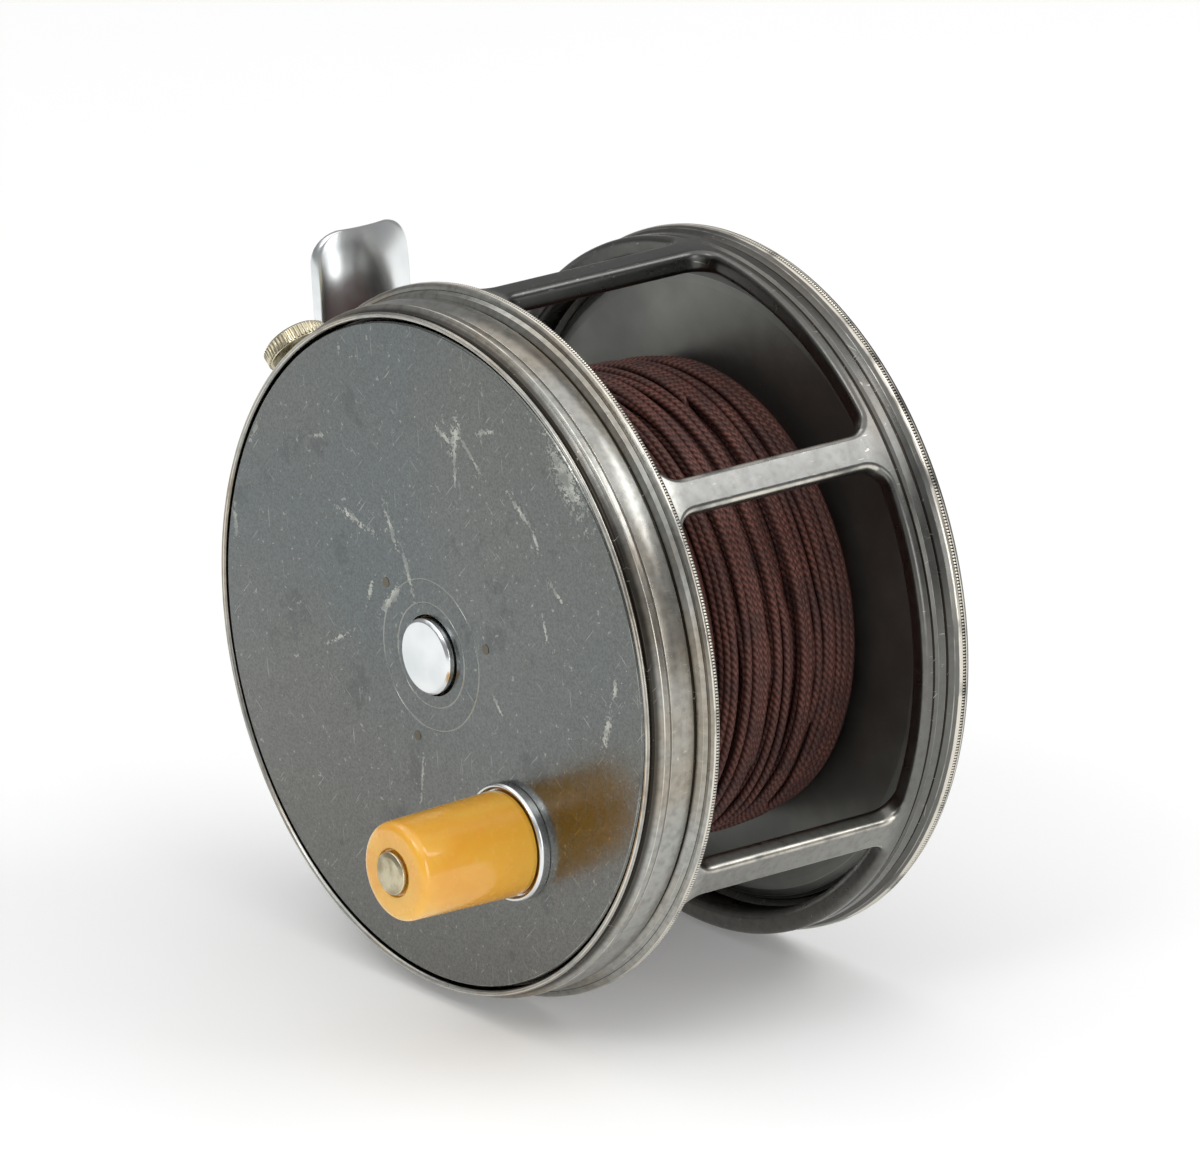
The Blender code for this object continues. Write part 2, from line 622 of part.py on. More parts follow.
def build_foot(mat):
    """The reel foot: a base in the cage's pocket and two tongues along the rod."""
    ends = [FOOT_HALF_LENGTH - FOOT_CORNER + FOOT_CORNER * math.sin(math.radians(angle))
            for angle in (0, 30, 55, 75, 90)]
    stations = [-value for value in reversed(ends)]
    stations += [-36.2, -24.0, -16.0, -FOOT_BASE_HALF, 0.0, FOOT_BASE_HALF, 16.0, 24.0, 36.2]
    stations += ends
    bm = bmesh.new()
    rings = []
    for along in stations:
        ring = []
        for side, height in foot_section(along):
            ring.append(bm.verts.new(foot_point(along + FOOT_SHIFT, FOOT_CENTRE_DEPTH + side, height)))
        rings.append(ring)
    count = len(rings[0])
    for first, second in zip(rings, rings[1:]):
        for index in range(count):
            following = (index + 1) % count
            bm.faces.new((first[index], first[following], second[following], second[index]))
    half = count // 2
    for ring in (rings[0], rings[-1]):
        for index in range(half - 1):
            bm.faces.new((ring[index], ring[index + 1], ring[count - 2 - index], ring[count - 1 - index]))
    foot = finish_object("foot", bm, mat, Matrix.Identity(4))
    bm = bmesh.new()
    for frame in foot_screw_frames():
        add_rod(bm, frame, 1.3, 44.0, 50.0)
    cut(foot, bm)
    bm = bmesh.new()
    for frame in foot_screw_frames():
        add_rod(bm, frame, 2.1, 46.9, 50.0)
    cut(foot, bm)
    return foot


def build_foot_screws(mat):
    """Four screws with their heads sunk in the foot's rod side."""
    for index, frame in enumerate(foot_screw_frames()):
        profile = [(0.0, 43.6), (1.0, 43.6), (1.0, 47.2), (1.8, 47.2), (1.8, 48.0), (0.0, 48.0)]
        turned("foot_screw_%d" % (index + 1), profile, mat, frame, SCREW_SEGMENTS)


# ---------------------------------------------------------------- assembly

def main():
    """Build every piece of the reel."""
    clear_scene()
    bronzed = material("bronzed_alloy", (0.17, 0.17, 0.15), 0.45, 0.85)
    plate_finish = material("leaded_alloy", (0.15, 0.16, 0.145), 0.5, 0.8)
    drum_finish = material("drum_alloy", (0.12, 0.125, 0.115), 0.55, 0.7)
    polished = material("polished_alloy", (0.80, 0.82, 0.82), 0.18, 1.0)
    nickel = material("nickel_silver", (0.62, 0.57, 0.42), 0.3, 1.0)
    brass = material("brass", (0.60, 0.46, 0.22), 0.35, 1.0)
    steel = material("steel", (0.50, 0.50, 0.52), 0.3, 1.0)
    amber = material("amber_resin", (0.78, 0.42, 0.08), 0.22, 0.0)
    silk = material("dressed_silk", (0.10, 0.045, 0.038), 0.7, 0.0)
    build_cage(bronzed)
    build_front_plate(bronzed)
    build_spindle(steel)
    build_spindle_cap(polished)
    build_bearing(brass, steel)
    build_winding_plate(plate_finish)
    build_plate_rivets(brass)
    build_hub(brass)
    build_bushes(brass)
    build_drum(drum_finish, steel)
    build_line(silk)
    build_ratchet_wheel(brass)
    build_pawl(steel)
    build_pawl_pivot(steel)
    build_check_spring(steel)
    build_spring_posts(brass)
    build_regulator(nickel, brass)
    build_handle(polished, amber, nickel)
    build_foot(polished)
    build_foot_screws(steel)


main()
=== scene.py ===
"""Looks of the fly reel: detailed turned metal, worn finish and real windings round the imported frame."""

import json
import math

import bmesh
import bpy
import numpy as np
from mathutils import Matrix, Vector, noise


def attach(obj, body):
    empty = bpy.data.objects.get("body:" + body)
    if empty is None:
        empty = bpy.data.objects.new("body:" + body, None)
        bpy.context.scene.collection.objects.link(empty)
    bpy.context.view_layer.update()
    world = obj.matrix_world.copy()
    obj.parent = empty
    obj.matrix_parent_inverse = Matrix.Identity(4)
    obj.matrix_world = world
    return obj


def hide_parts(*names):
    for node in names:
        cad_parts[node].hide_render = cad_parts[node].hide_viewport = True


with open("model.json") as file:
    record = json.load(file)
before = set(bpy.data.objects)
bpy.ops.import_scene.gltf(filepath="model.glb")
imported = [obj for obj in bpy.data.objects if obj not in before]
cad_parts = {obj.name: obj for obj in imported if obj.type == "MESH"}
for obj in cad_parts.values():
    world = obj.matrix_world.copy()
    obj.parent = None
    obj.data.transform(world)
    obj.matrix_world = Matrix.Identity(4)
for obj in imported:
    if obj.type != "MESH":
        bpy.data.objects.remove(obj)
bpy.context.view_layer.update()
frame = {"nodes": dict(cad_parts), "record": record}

MM = 0.001
REEL_DEPTH = 52.0            # back plate's outer face, measured back from the winding plate
FLOOR_Z = -47.6              # the lowest point of the two rims

# the cage: sizes in mm, angles in degrees about the spin axis
RIM_RADIUS = 47.6
BORE = 44.0
WALL_RADIUS = 47.1
WINDOW_FRONT = 10.4
WINDOW_REAR = 44.4
WINDOW_CORNER = 3.0
WALL_FRONT = 8.9
WALL_REAR = 45.95
FOOT_ANGLE = 184.65
FOOT_HALF_ANGLE = 24.0
BAR_ANGLES = (38.2, 91.5, 255.0, 331.1)
BAR_HALF_ANGLE = 2.95
EDGE_ROUND = 0.85
INNER_EDGE_ROUND = 1.1
WALL_END_ROUND = 0.3
CHECK_ANGLE = 140.3
REGULATOR_DEPTH = 7.0
POCKET_GAP = 0.15            # room round the foot in the cage wall
WALL_CUTS = 144              # facets that the flat wall is cut into before it is rolled
KNURL_TEETH = 700
KNURL_DEPTH = 0.17
KNURL_FOOT = RIM_RADIUS - 0.14

# the drum and its line
ARBOR_RADIUS = 14.5
STRAND = 1.1
PICK_LENGTH = 0.52           # one pick of the braid, along the strand
PICKS_AROUND = 5
LINE_FRONT = 11.5
LINE_REAR = 47.4
LINE_TOP = 31.9
LINE_PITCH = 1.8             # advance of the line from one turn to the next
LINE_TURNS = 68
LINE_BURIED_TURNS = 28       # the first turns, mostly hidden by the later ones
LINE_SAMPLES = 240           # points in one turn
WANDER = 3.2                 # slow drift of the line from its even place
QUIVER = 0.8                 # quick drift

# the winding plate, the handle and the foot
ENGRAVED_CIRCLES = (10.15, 7.05)
HANDLE = (17.3, -20.7)
KNOB_FRONT = -1.35           # the knob's wide end, against its collar
KNOB_LENGTH = 18.3
FOOT_WIDTH = 15.6
FOOT_HALF = 44.2             # half its length
FOOT_SHIFT = -0.45
FOOT_DEPTH = 28.1
FOOT_BASE = 12.5             # half length of the flat that sits on the cage
FOOT_RUNOUT = 3.5            # length over which that flat turns into a tongue
FOOT_TOP = 47.7
FOOT_UNDERSIDE = 45.9
FOOT_CORNER = 4.2
FOOT_EDGE = 0.5              # reach of the rounding along its long edges
FOOT_HOLLOW = 2.0
FOOT_TIP_LIFT = 0.9
FOOT_TIP_REACH = 8.0
FOOT_SCREW_PLACES = ((-8.0, -4.6), (-8.0, 4.6), (8.0, -4.6), (8.0, 4.6))

# the camera and the lamps: places in m, azimuths and elevations in degrees, power in W
CAMERA_LENS = 405.5
CAMERA_TARGET = (0.01124, -0.03288, 0.00886)
CAMERA_AZIMUTH = 51.7
CAMERA_ELEVATION = 18.9
CAMERA_DISTANCE = 1.7588
LAMP_TARGET = (0.0, -0.026, 0.0)
SURROUND_STRENGTH = 0.3
FLOOR_GLOW = 0.17
SOFTBOXES = (
    # name, azimuth, elevation, distance, size, power
    ("key_softbox", 140.0, 44.0, 1.5, (1.0, 0.55), 5.6),
    ("left_softbox", -70.0, 50.0, 1.6, (0.8, 0.8), 1.5),
    ("overhead", 20.0, 86.0, 1.7, (3.0, 3.0), 25.0),
    ("front_softbox", 15.0, 48.0, 1.5, (0.5, 0.5), 3.0),
    ("right_softbox", 80.0, 12.0, 1.5, (0.55, 0.9), 4.5),
)

# worn strokes on the face: place across and up, angle, length and width
FACE_MARKS = (
    (28.5, 31.5, -50.0, 9.0, 3.4), (26.3, 33.8, -45.0, 4.0, 1.0), (5.2, 31.3, 80.0, 4.6, 1.5),
    (5.1, 28.0, 92.0, 7.0, 0.6), (2.8, 30.9, 158.0, 3.6, 1.1), (8.4, 29.6, -42.0, 6.0, 0.5),
    (-16.0, 14.4, -12.0, 6.0, 0.9), (-8.6, 15.4, -62.0, 4.6, 0.8), (-5.0, 10.2, -68.0, 5.0, 0.7),
    (-8.8, 5.3, 50.0, 5.0, 1.1), (-13.0, 5.5, 70.0, 3.4, 0.7), (19.0, 24.5, -35.0, 4.6, 0.7),
    (22.0, 21.7, -60.0, 3.0, 0.6), (26.6, 15.5, -40.0, 3.4, 0.6), (24.0, 10.0, -75.0, 3.0, 0.5),
    (37.0, 0.3, 75.0, 4.8, 1.1), (38.5, 6.0, 80.0, 2.6, 0.6), (-42.3, 7.4, 95.0, 4.0, 0.7),
    (-37.9, 21.1, 60.0, 3.6, 0.6), (-2.0, -17.5, 85.0, 6.0, 0.4), (-20.0, -3.0, 30.0, 4.0, 0.5),
    (-24.0, 24.0, 20.0, 3.0, 0.5), (14.0, -3.0, -50.0, 3.0, 0.5), (11.5, 33.5, 20.0, 3.0, 0.7),
)


# ---------------------------------------------------------------- places

def world_y(depth):
    """World Y, in metres, of a depth behind the winding plate's face."""
    return (depth - REEL_DEPTH) * MM


def polar(radius, degrees, depth):
    """World place of a radius and angle about the spin axis, at a depth."""
    turn = math.radians(degrees)
    return Vector((radius * math.cos(turn) * MM, world_y(depth), radius * math.sin(turn) * MM))


def axial_frame(x=0.0, z=0.0):
    """Frame whose local Z runs back along the spin axis from the winding plate's face."""
    return Matrix.Translation((x * MM, world_y(0.0), z * MM)) @ Matrix.Rotation(-math.pi / 2, 4, "X")


def radial_frame(degrees, depth, sideways=0.0):
    """Frame whose local Z runs out from the spin axis."""
    turn = math.radians(degrees)
    outward = Vector((math.cos(turn), 0.0, math.sin(turn)))
    tangent = Vector((-math.sin(turn), 0.0, math.cos(turn)))
    back = Vector((0.0, 1.0, 0.0))
    place = back * world_y(depth) + tangent * sideways * MM
    rows = [[back[i], tangent[i], outward[i], place[i]] for i in range(3)]
    return Matrix(rows + [[0.0, 0.0, 0.0, 1.0]])


# ---------------------------------------------------------------- meshes

def rounded(corners, radius=0.12, steps=3):
    """Round each corner of a closed profile: convex ones get wear, hollow ones a value below 0 that marks
    painted shade.
    """
    points = []
    count = len(corners)
    area = sum(corners[i][0] * corners[(i + 1) % count][1] - corners[(i + 1) % count][0] * corners[i][1]
               for i in range(count))
    winding = 1.0 if area > 0 else -1.0
    for index, corner in enumerate(corners):
        here = Vector(corner[:2])
        before = Vector(corners[index - 1][:2]) - here
        after = Vector(corners[(index + 1) % count][:2]) - here
        if here.x < 1e-6:
            points.append((here.x, here.y, 0.0))
            continue
        cosine = max(-1.0, min(1.0, before.normalized().dot(after.normalized())))
        half = math.acos(cosine) / 2
        size = corner[2] if len(corner) > 2 else radius
        reach = min(size / max(math.tan(half), 0.05), before.length * 0.45, after.length * 0.45)
        convex = winding * (before.x * after.y - before.y * after.x) < 0
        sharpness = 1.0 - 2.0 * half / math.pi
        # hollow corners get a value below 0: painted shade
        wear_and_shade = min(1.0, sharpness * 3.0) * (1.0 if convex else -1.0)
        start = here + before.normalized() * reach
        end = here + after.normalized() * reach
        for step in range(steps + 1):
            part = step / steps
            point = start * (1 - part) ** 2 + here * 2 * part * (1 - part) + end * part ** 2
            points.append((point.x, point.y, wear_and_shade * 4 * part * (1 - part)))
    return points


def lathe(name, points, segments=288, place=None):
    """Turn a closed profile of (radius, height, wear) about the local Z of a frame; a wear below 0 marks
    painted shade.
    """
    place = place or axial_frame()
    mesh = bpy.data.meshes.new(name)
    rows = []
    vertices = []
    wear_and_shade = []
    for radius, height, amount in points:
        if radius < 1e-6:
            rows.append([len(vertices)] * segments)
            vertices.append((0.0, 0.0, height * MM))
            wear_and_shade.append(amount)
            continue
        rows.append(list(range(len(vertices), len(vertices) + segments)))
        for index in range(segments):
            turn = 2 * math.pi * index / segments
            vertices.append((radius * MM * math.cos(turn), radius * MM * math.sin(turn), height * MM))
            wear_and_shade.append(amount)
    faces = []
    for number in range(len(rows)):
        first = rows[number]
        second = rows[(number + 1) % len(rows)]
        if first[0] == first[1] and second[0] == second[1]:
            continue
        for index in range(segments):
            following = (index + 1) % segments
            corners = [first[index], first[following], second[following], second[index]]
            faces.append(list(dict.fromkeys(corners)))
    mesh.from_pydata(vertices, [], faces)
    return finish_mesh(name, mesh, wear_and_shade, place)


def finish_mesh(name, mesh, wear_and_shade=None, place=None, sharp=35.0):
    """Store wear and painted shade, face the mesh outwards, shade it smooth and link its object."""
    if wear_and_shade is not None:
        attribute = mesh.attributes.new("wear_and_shade", "FLOAT", "POINT")
        attribute.data.foreach_set("value", wear_and_shade)
    bm = bmesh.new()
    bm.from_mesh(mesh)
    bmesh.ops.recalc_face_normals(bm, faces=bm.faces)
    if place is not None:
        bmesh.ops.transform(bm, matrix=place, verts=bm.verts)
    bm.to_mesh(mesh)
    bm.free()
    mesh.polygons.foreach_set("use_smooth", [True] * len(mesh.polygons))
    mesh.set_sharp_from_angle(angle=math.radians(sharp))
    thing = bpy.data.objects.new(name, mesh)
    bpy.context.scene.collection.objects.link(thing)
    return thing


def joined(name, things):
    """Put several meshes into the first one's object."""
    bpy.ops.object.select_all(action="DESELECT")
    for thing in things:
        thing.select_set(True)
    bpy.context.view_layer.objects.active = things[0]
    bpy.ops.object.join()
    things[0].name = name
    things[0].data.name = name
    return things[0]


def carve(thing, cutter):
    """Cut a hole of the cutter's shape, then remove the cutter."""
    modifier = thing.modifiers.new("cut", "BOOLEAN")
    modifier.operation = "DIFFERENCE"
    modifier.solver = "EXACT"
    modifier.object = cutter
    depsgraph = bpy.context.evaluated_depsgraph_get()
    mesh = bpy.data.meshes.new_from_object(thing.evaluated_get(depsgraph))
    thing.modifiers.clear()
    old = thing.data
    thing.data = mesh
    bpy.data.meshes.remove(old)
    bpy.data.objects.remove(cutter, do_unlink=True)
    thing.data.set_sharp_from_angle(angle=math.radians(35.0))


def knurl(name, radius, low, high, teeth, height, place=None):
    """A coin-edged band: fine teeth that rise from a ring at the radius."""
    rows = ((-0.35, low, 0.0), (0.0, low, 0.0), (1.0, low + 0.06, 1.0), (1.0, high - 0.06, 1.0),
            (0.0, high, 0.0), (-0.35, high, 0.0))
    shape = (0.0, 1.0, 1.0, 0.0)
    segments = teeth * len(shape)
    mesh = bpy.data.meshes.new(name)
    vertices = []
    wear_and_shade = []
    for lift, level, crest in rows:
        for index in range(segments):
            turn = 2 * math.pi * index / segments
            rise = crest * shape[index % len(shape)]
            reach = radius + min(lift, 0.0) + height * rise
            vertices.append((reach * MM * math.cos(turn), reach * MM * math.sin(turn), level * MM))
            # knurl valleys get a value below 0: painted shade between the teeth
            wear_and_shade.append(crest * (1.0 if rise else -0.6))
    faces = []
    for row in range(len(rows)):
        base = row * segments
        above = ((row + 1) % len(rows)) * segments
        for index in range(segments):
            following = (index + 1) % segments
            faces.append((base + index, base + following, above + following, above + index))
    mesh.from_pydata(vertices, [], faces)
    return finish_mesh(name, mesh, wear_and_shade, place or axial_frame(), sharp=60.0)


def block(name, place, low, high):
    """A plain box between two corners of a frame, in mm; used to cut."""
    bm = bmesh.new()
    bmesh.ops.create_cube(bm, size=1.0)
    size = Vector(high) - Vector(low)
    middle = (Vector(high) + Vector(low)) / 2
    scale = Matrix.Diagonal((size.x * MM, size.y * MM, size.z * MM, 1.0))
    bmesh.ops.transform(bm, matrix=place @ Matrix.Translation(middle * MM) @ scale, verts=bm.verts)
    mesh = bpy.data.meshes.new(name)
    bm.to_mesh(mesh)
    bm.free()
    return finish_mesh(name, mesh)


# ---------------------------------------------------------------- cage

def window_spans():
    """Start and end angle of each opening between two parts of the cage wall."""
    sections = sorted([(FOOT_ANGLE, FOOT_HALF_ANGLE)] + [(angle, BAR_HALF_ANGLE) for angle in BAR_ANGLES])
    first = [item[0] for item in sections].index(FOOT_ANGLE)
    ordered = sections[first:] + [(angle + 360.0, half) for angle, half in sections[:first + 1]]
    return [(ordered[i][0] + ordered[i][1], ordered[i + 1][0] - ordered[i + 1][1])
            for i in range(len(ordered) - 1)]


def rounded_rectangle(low, high, corner, grow, spacing):
    """Loop of points round a rectangle whose corners keep one centre as it grows."""
    steps = 10
    radius = corner + grow
    centres = ((high[0] - corner, high[1] - corner, 0), (low[0] + corner, high[1] - corner, 90),
               (low[0] + corner, low[1] + corner, 180), (high[0] - corner, low[1] + corner, 270))
    loop = []
    for x, y, start in centres:
        for step in range(steps + 1):
            turn = math.radians(start + 90.0 * step / steps)
            loop.append((x + radius * math.cos(turn), y + radius * math.sin(turn)))
    dense = []
    for index, point in enumerate(loop):
        following = loop[(index + 1) % len(loop)]
        gap = math.dist(point, following)
        parts = max(1, round(gap / spacing)) if gap > 2 * spacing else 1
        for part in range(parts):
            share = part / parts
            dense.append((point[0] + (following[0] - point[0]) * share,
                          point[1] + (following[1] - point[1]) * share))
    return dense


def wall_rings(outer):
    """Offset, height and wear of the rings that carry the outer face round to the bore; the bore's edge gets
    a little painted shade.
    """
    steps = 5
    size = WALL_END_ROUND if outer else EDGE_ROUND
    edge = []
    inner_edge = []
    for step in range(steps + 1):
        turn = math.radians(90.0 * step / steps)
        wear_and_shade = 0.7 * math.sin(2 * turn)
        edge.append((size * (1 - math.sin(turn)), WALL_RADIUS - size * (1 - math.cos(turn)), wear_and_shade))
        inner_height = BORE + INNER_EDGE_ROUND * (1 - math.sin(turn))
        # the bore's edge gets a small value below 0: a touch of painted shade
        inner_edge.append((INNER_EDGE_ROUND * (1 - math.cos(turn)), inner_height, -0.1))
    start = [(size + 0.02, WALL_RADIUS, 0.0)]
    if outer:
        return [(-offset, height, wear_and_shade) for offset, height, wear_and_shade in start + edge + [(0.0, BORE, 0.0)]]
    middle = [(0.0, WALL_RADIUS - EDGE_ROUND - 0.2, 0.0)]
    return start + edge + middle + inner_edge + [(INNER_EDGE_ROUND + 0.02, BORE, 0.0)]


def cage_wall():
    """The barred wall: cut out flat, with rounded edges, then rolled round the axis."""
    length = 2 * math.pi * WALL_RADIUS
    loops = [((-1.5, WALL_FRONT), (length + 1.5, WALL_REAR), 0.0, True)]
    for start, end in window_spans():
        low = math.radians(start - FOOT_ANGLE) * WALL_RADIUS
        high = math.radians(end - FOOT_ANGLE) * WALL_RADIUS
        loops.append(((low, WINDOW_FRONT), (high, WINDOW_REAR), WINDOW_CORNER, False))
    bm = bmesh.new()
    layer = bm.verts.layers.float.new("wear_and_shade")
    fill_edges = {0: [], -1: []}
    for low, high, corner, outer in loops:
        rows = []
        for offset, height, wear_and_shade in wall_rings(outer):
            row = []
            for x, y in rounded_rectangle(low, high, corner + (1.0 if outer else 0.0), offset, 1.2):
                vert = bm.verts.new((x, y, height))
                along_bar = WINDOW_FRONT + 1.0 < y < WINDOW_REAR - 1.0
                vert[layer] = wear_and_shade if along_bar else 0.2 * wear_and_shade
                row.append(vert)
            rows.append(row)
        for first, second in zip(rows, rows[1:]):
            for index in range(len(first)):
                following = (index + 1) % len(first)
                bm.faces.new((first[index], first[following], second[following], second[index]))
        for side in fill_edges:
            row = rows[side]
            fill_edges[side] += [bm.edges.get((row[i], row[(i + 1) % len(row)])) for i in range(len(row))]
    for side, normal in ((0, (0, 0, 1)), (-1, (0, 0, -1))):
        bmesh.ops.triangle_fill(bm, use_beauty=True, edges=fill_edges[side], normal=normal)
    for index in range(WALL_CUTS + 1):
        at = length * index / WALL_CUTS
        bmesh.ops.bisect_plane(bm, geom=bm.verts[:] + bm.edges[:] + bm.faces[:], dist=1e-4,
                               plane_co=(at, 0, 0), plane_no=(1, 0, 0),
                               clear_inner=index == 0, clear_outer=index == WALL_CUTS)
    for vert in bm.verts:
        angle = FOOT_ANGLE + math.degrees(vert.co.x / WALL_RADIUS)
        vert.co = polar(vert.co.z, angle, vert.co.y)
    bmesh.ops.remove_doubles(bm, verts=bm.verts, dist=1e-6)
    mesh = bpy.data.meshes.new("cage_wall")
    bm.to_mesh(mesh)
    bm.free()
    wall = finish_mesh("cage_wall", mesh)
    half = FOOT_WIDTH / 2 + POCKET_GAP
    place = radial_frame(FOOT_ANGLE, FOOT_DEPTH)
    carve(wall, block("pocket", place, (-half, -14.0, 45.6), (half, 14.0, 52.0)))
    return wall


def cage_rings():
    """The front ring, the rear ring with the back plate, and their two coin edges."""
    inside = BORE + 0.06
    front = [(inside, 3.42), (45.95, 3.42), (46.3, 5.2, 9.0), (46.0, 7.0), (45.3, 7.6, 1.0),
             (46.45, 8.15), (46.75, 8.75), (47.2, 8.85, 0.1), (47.6, 9.2, 0.25), (47.6, 9.42, 0.05),
             (47.42, 9.46, 0.03), (47.42, 9.98, 0.05), (47.3, 10.2), (inside, 10.3)]
    rear = [(inside, 45.2), (46.9, 45.2), (46.9, 45.85), (46.55, 46.3, 0.5), (46.95, 46.9),
            (46.95, 48.1), (46.4, 48.6, 0.5), (47.3, 49.3, 0.5), (47.62, 50.1, 0.4),
            (47.62, 50.4, 0.05), (47.42, 50.44, 0.03), (47.42, 50.96, 0.03), (47.62, 51.0, 0.05),
            (47.3, 51.6, 0.4), (46.5, 52.0, 0.3), (0.0, 52.0), (0.0, 51.2), (2.8, 51.2), (2.8, 49.3),
            (43.0, 49.3), (inside, 48.4)]
    front_ring = lathe("cage_front", rounded(front, 0.1))
    regulator = radial_frame(CHECK_ANGLE, REGULATOR_DEPTH)
    for name, radius, low, high in (("hole", 1.6, 40.0, 49.0), ("recess", 2.9, 46.5, 49.0)):
        profile = [(0.0, low, 0.0), (radius, low, 0.0), (radius, high, 0.0), (0.0, high, 0.0)]
        carve(front_ring, lathe(name, profile, 48, regulator))
    rear_ring = lathe("cage_rear", rounded(rear, 0.1))
    return [front_ring, rear_ring,
            knurl("front_coin_edge", KNURL_FOOT, 9.48, 9.96, KNURL_TEETH, KNURL_DEPTH),
            knurl("rear_coin_edge", KNURL_FOOT, 50.46, 50.94, KNURL_TEETH, KNURL_DEPTH)]


def build_cage(finish):
    """Wall, rings and coin edges as one casting."""
    cage = joined("cage_casting", [cage_wall()] + cage_rings())
    dress(cage, finish, "frame", "bronzed_alloy", "cage")


def dress(thing, finish, body, slot, *nodes):
    """Give a finished piece its material and its body, and hide the nodes it stands for; the slot is not
    used.
    """
    thing.data.materials.clear()
    thing.data.materials.append(finish)
    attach(thing, body)
    if nodes:
        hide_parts(*nodes)


def build_front_ring(finish):
    """The screwed front ring: rounded lip, hollow, bead and the wall behind."""
    corners = [(44.7, 2.6), (44.7, 0.1), (44.9, -0.2, 0.25), (45.3, -0.25, 0.25), (45.52, 0.1, 0.15),
               (44.95, 0.95, 1.2), (45.75, 1.75, 0.15), (46.2, 2.1, 0.3), (46.25, 2.85, 0.3),
               (46.05, 3.3, 0.08), (43.5, 3.3), (43.5, 9.7), (11.9, 9.7), (11.9, 5.6), (13.6, 5.6),
               (13.6, 8.7), (41.7, 8.7), (41.7, 2.6)]
    ring = lathe("front_ring", rounded(corners, 0.1))
    dress(ring, finish, "frame", "bronzed_alloy", "front_plate")


# ---------------------------------------------------------------- drum and line

def build_winding_plate(finish):
    """The revolving face with its plain engraved circles round the cap."""
    grooves = []
    for radius in ENGRAVED_CIRCLES:
        grooves += [(radius + 0.09, 0.0), (radius + 0.05, 0.06)]
        grooves += [(radius - 0.05, 0.06), (radius - 0.09, 0.0)]
    outline = [(5.45, 2.0), (44.3, 2.0), (44.3, 0.25, 0.12), (44.05, 0.0, 0.15)]
    face = rounded(outline + grooves + [(5.45, 0.0)], 0.05)
    plate = lathe("face_plate", face, 360)
    dress(plate, finish, "drum", "leaded_alloy", "winding_plate")


def build_cap(finish):
    """The polished cap on the spindle, with a faint turned dish."""
    corners = [(0.0, 8.6), (1.3, 8.6), (1.3, 1.8), (5.09, 1.8), (5.09, -0.8, 0.15), (4.7, -1.18, 0.3),
               (4.1, -1.2, 0.3), (0.0, -1.16)]
    cap = lathe("polished_cap", rounded(corners, 0.1), 128)
    dress(cap, finish, "frame", "polished_alloy", "spindle_cap")


def build_flanges(finish):
    """The drum's two flanges, the rear one with a rolled and polished rim."""
    front = [(5.9, 10.0), (42.8, 10.0), (43.2, 10.4), (43.0, 11.0), (42.6, 11.2), (5.9, 11.2)]
    rear = [(5.9, 48.9), (5.9, 47.7), (40.5, 47.7, 0.5), (41.6, 47.85, 0.6), (42.6, 48.25, 0.4),
            (43.2, 48.9, 0.1)]
    for name, corners in (("front_flange", front), ("rear_flange", rear)):
        flange = lathe(name, rounded(corners, 0.12), 240)
        dress(flange, finish, "drum", "drum_alloy", "drum_" + name)


def wound_depth(phase, low, high):
    """Depth of the line after a number of turns: back and forth over the drum, with some drift."""
    width = high - low
    swept = LINE_PITCH * phase % (2 * width)
    at = swept if swept <= width else 2 * width - swept
    slow = noise.noise(Vector((phase * 0.55, 3.1, 0.0)))
    quick = noise.noise(Vector((phase * 2.3, 7.7, 0.0)))
    return min(max(low + at + WANDER * slow + QUIVER * quick, low), high)


def wound_path():
    """Depth and radius of each turn of the line, every turn lying on those under it."""
    low = LINE_FRONT + STRAND * 0.65
    high = LINE_REAR - STRAND * 0.65
    blend = 12                  # points over which one turn's height runs into the next
    window = 9                  # points each way that the height is smoothed over
    kernel = np.ones(2 * window + 1) / (2 * window + 1)
    depths = np.zeros((LINE_TURNS, LINE_SAMPLES))
    radii = np.zeros((LINE_TURNS, LINE_SAMPLES))
    for turn in range(LINE_TURNS):
        for index in range(LINE_SAMPLES):
            depths[turn, index] = wound_depth(turn + index / LINE_SAMPLES, low, high)
        share = np.abs(depths[turn] - (low + high) / 2) / ((high - low) / 2)
        resting = LINE_TOP - 3.3 - 1.3 * share ** 4
        for earlier in range(turn):
            apart = np.abs(depths[turn] - depths[earlier]) / STRAND
            lift = radii[earlier] + 0.93 * STRAND * np.sqrt(np.clip(1.0 - apart ** 2, 0.0, 1.0))
            resting = np.where(apart < 0.97, np.maximum(resting, lift), resting)
        padded = np.concatenate([resting[-window:], resting, resting[:window]])
        smooth = np.convolve(padded, kernel, mode="valid")
        settled = np.minimum(np.maximum(resting, smooth), line_limit(depths[turn]))
        if turn:
            ramp = np.linspace(0.0, 1.0, blend)
            settled[:blend] = radii[turn - 1, -1] * (1 - ramp) + settled[:blend] * ramp
        radii[turn] = settled
    return depths.reshape(-1), radii.reshape(-1)


def line_limit(depth):
    """Greatest centre radius of a turn at a depth: a low crown that falls to the flanges."""
    middle = (LINE_FRONT + LINE_REAR) / 2
    share = np.abs(depth - middle) / ((LINE_REAR - LINE_FRONT) / 2)
    return LINE_TOP - STRAND / 2 - 1.6 * share ** 4


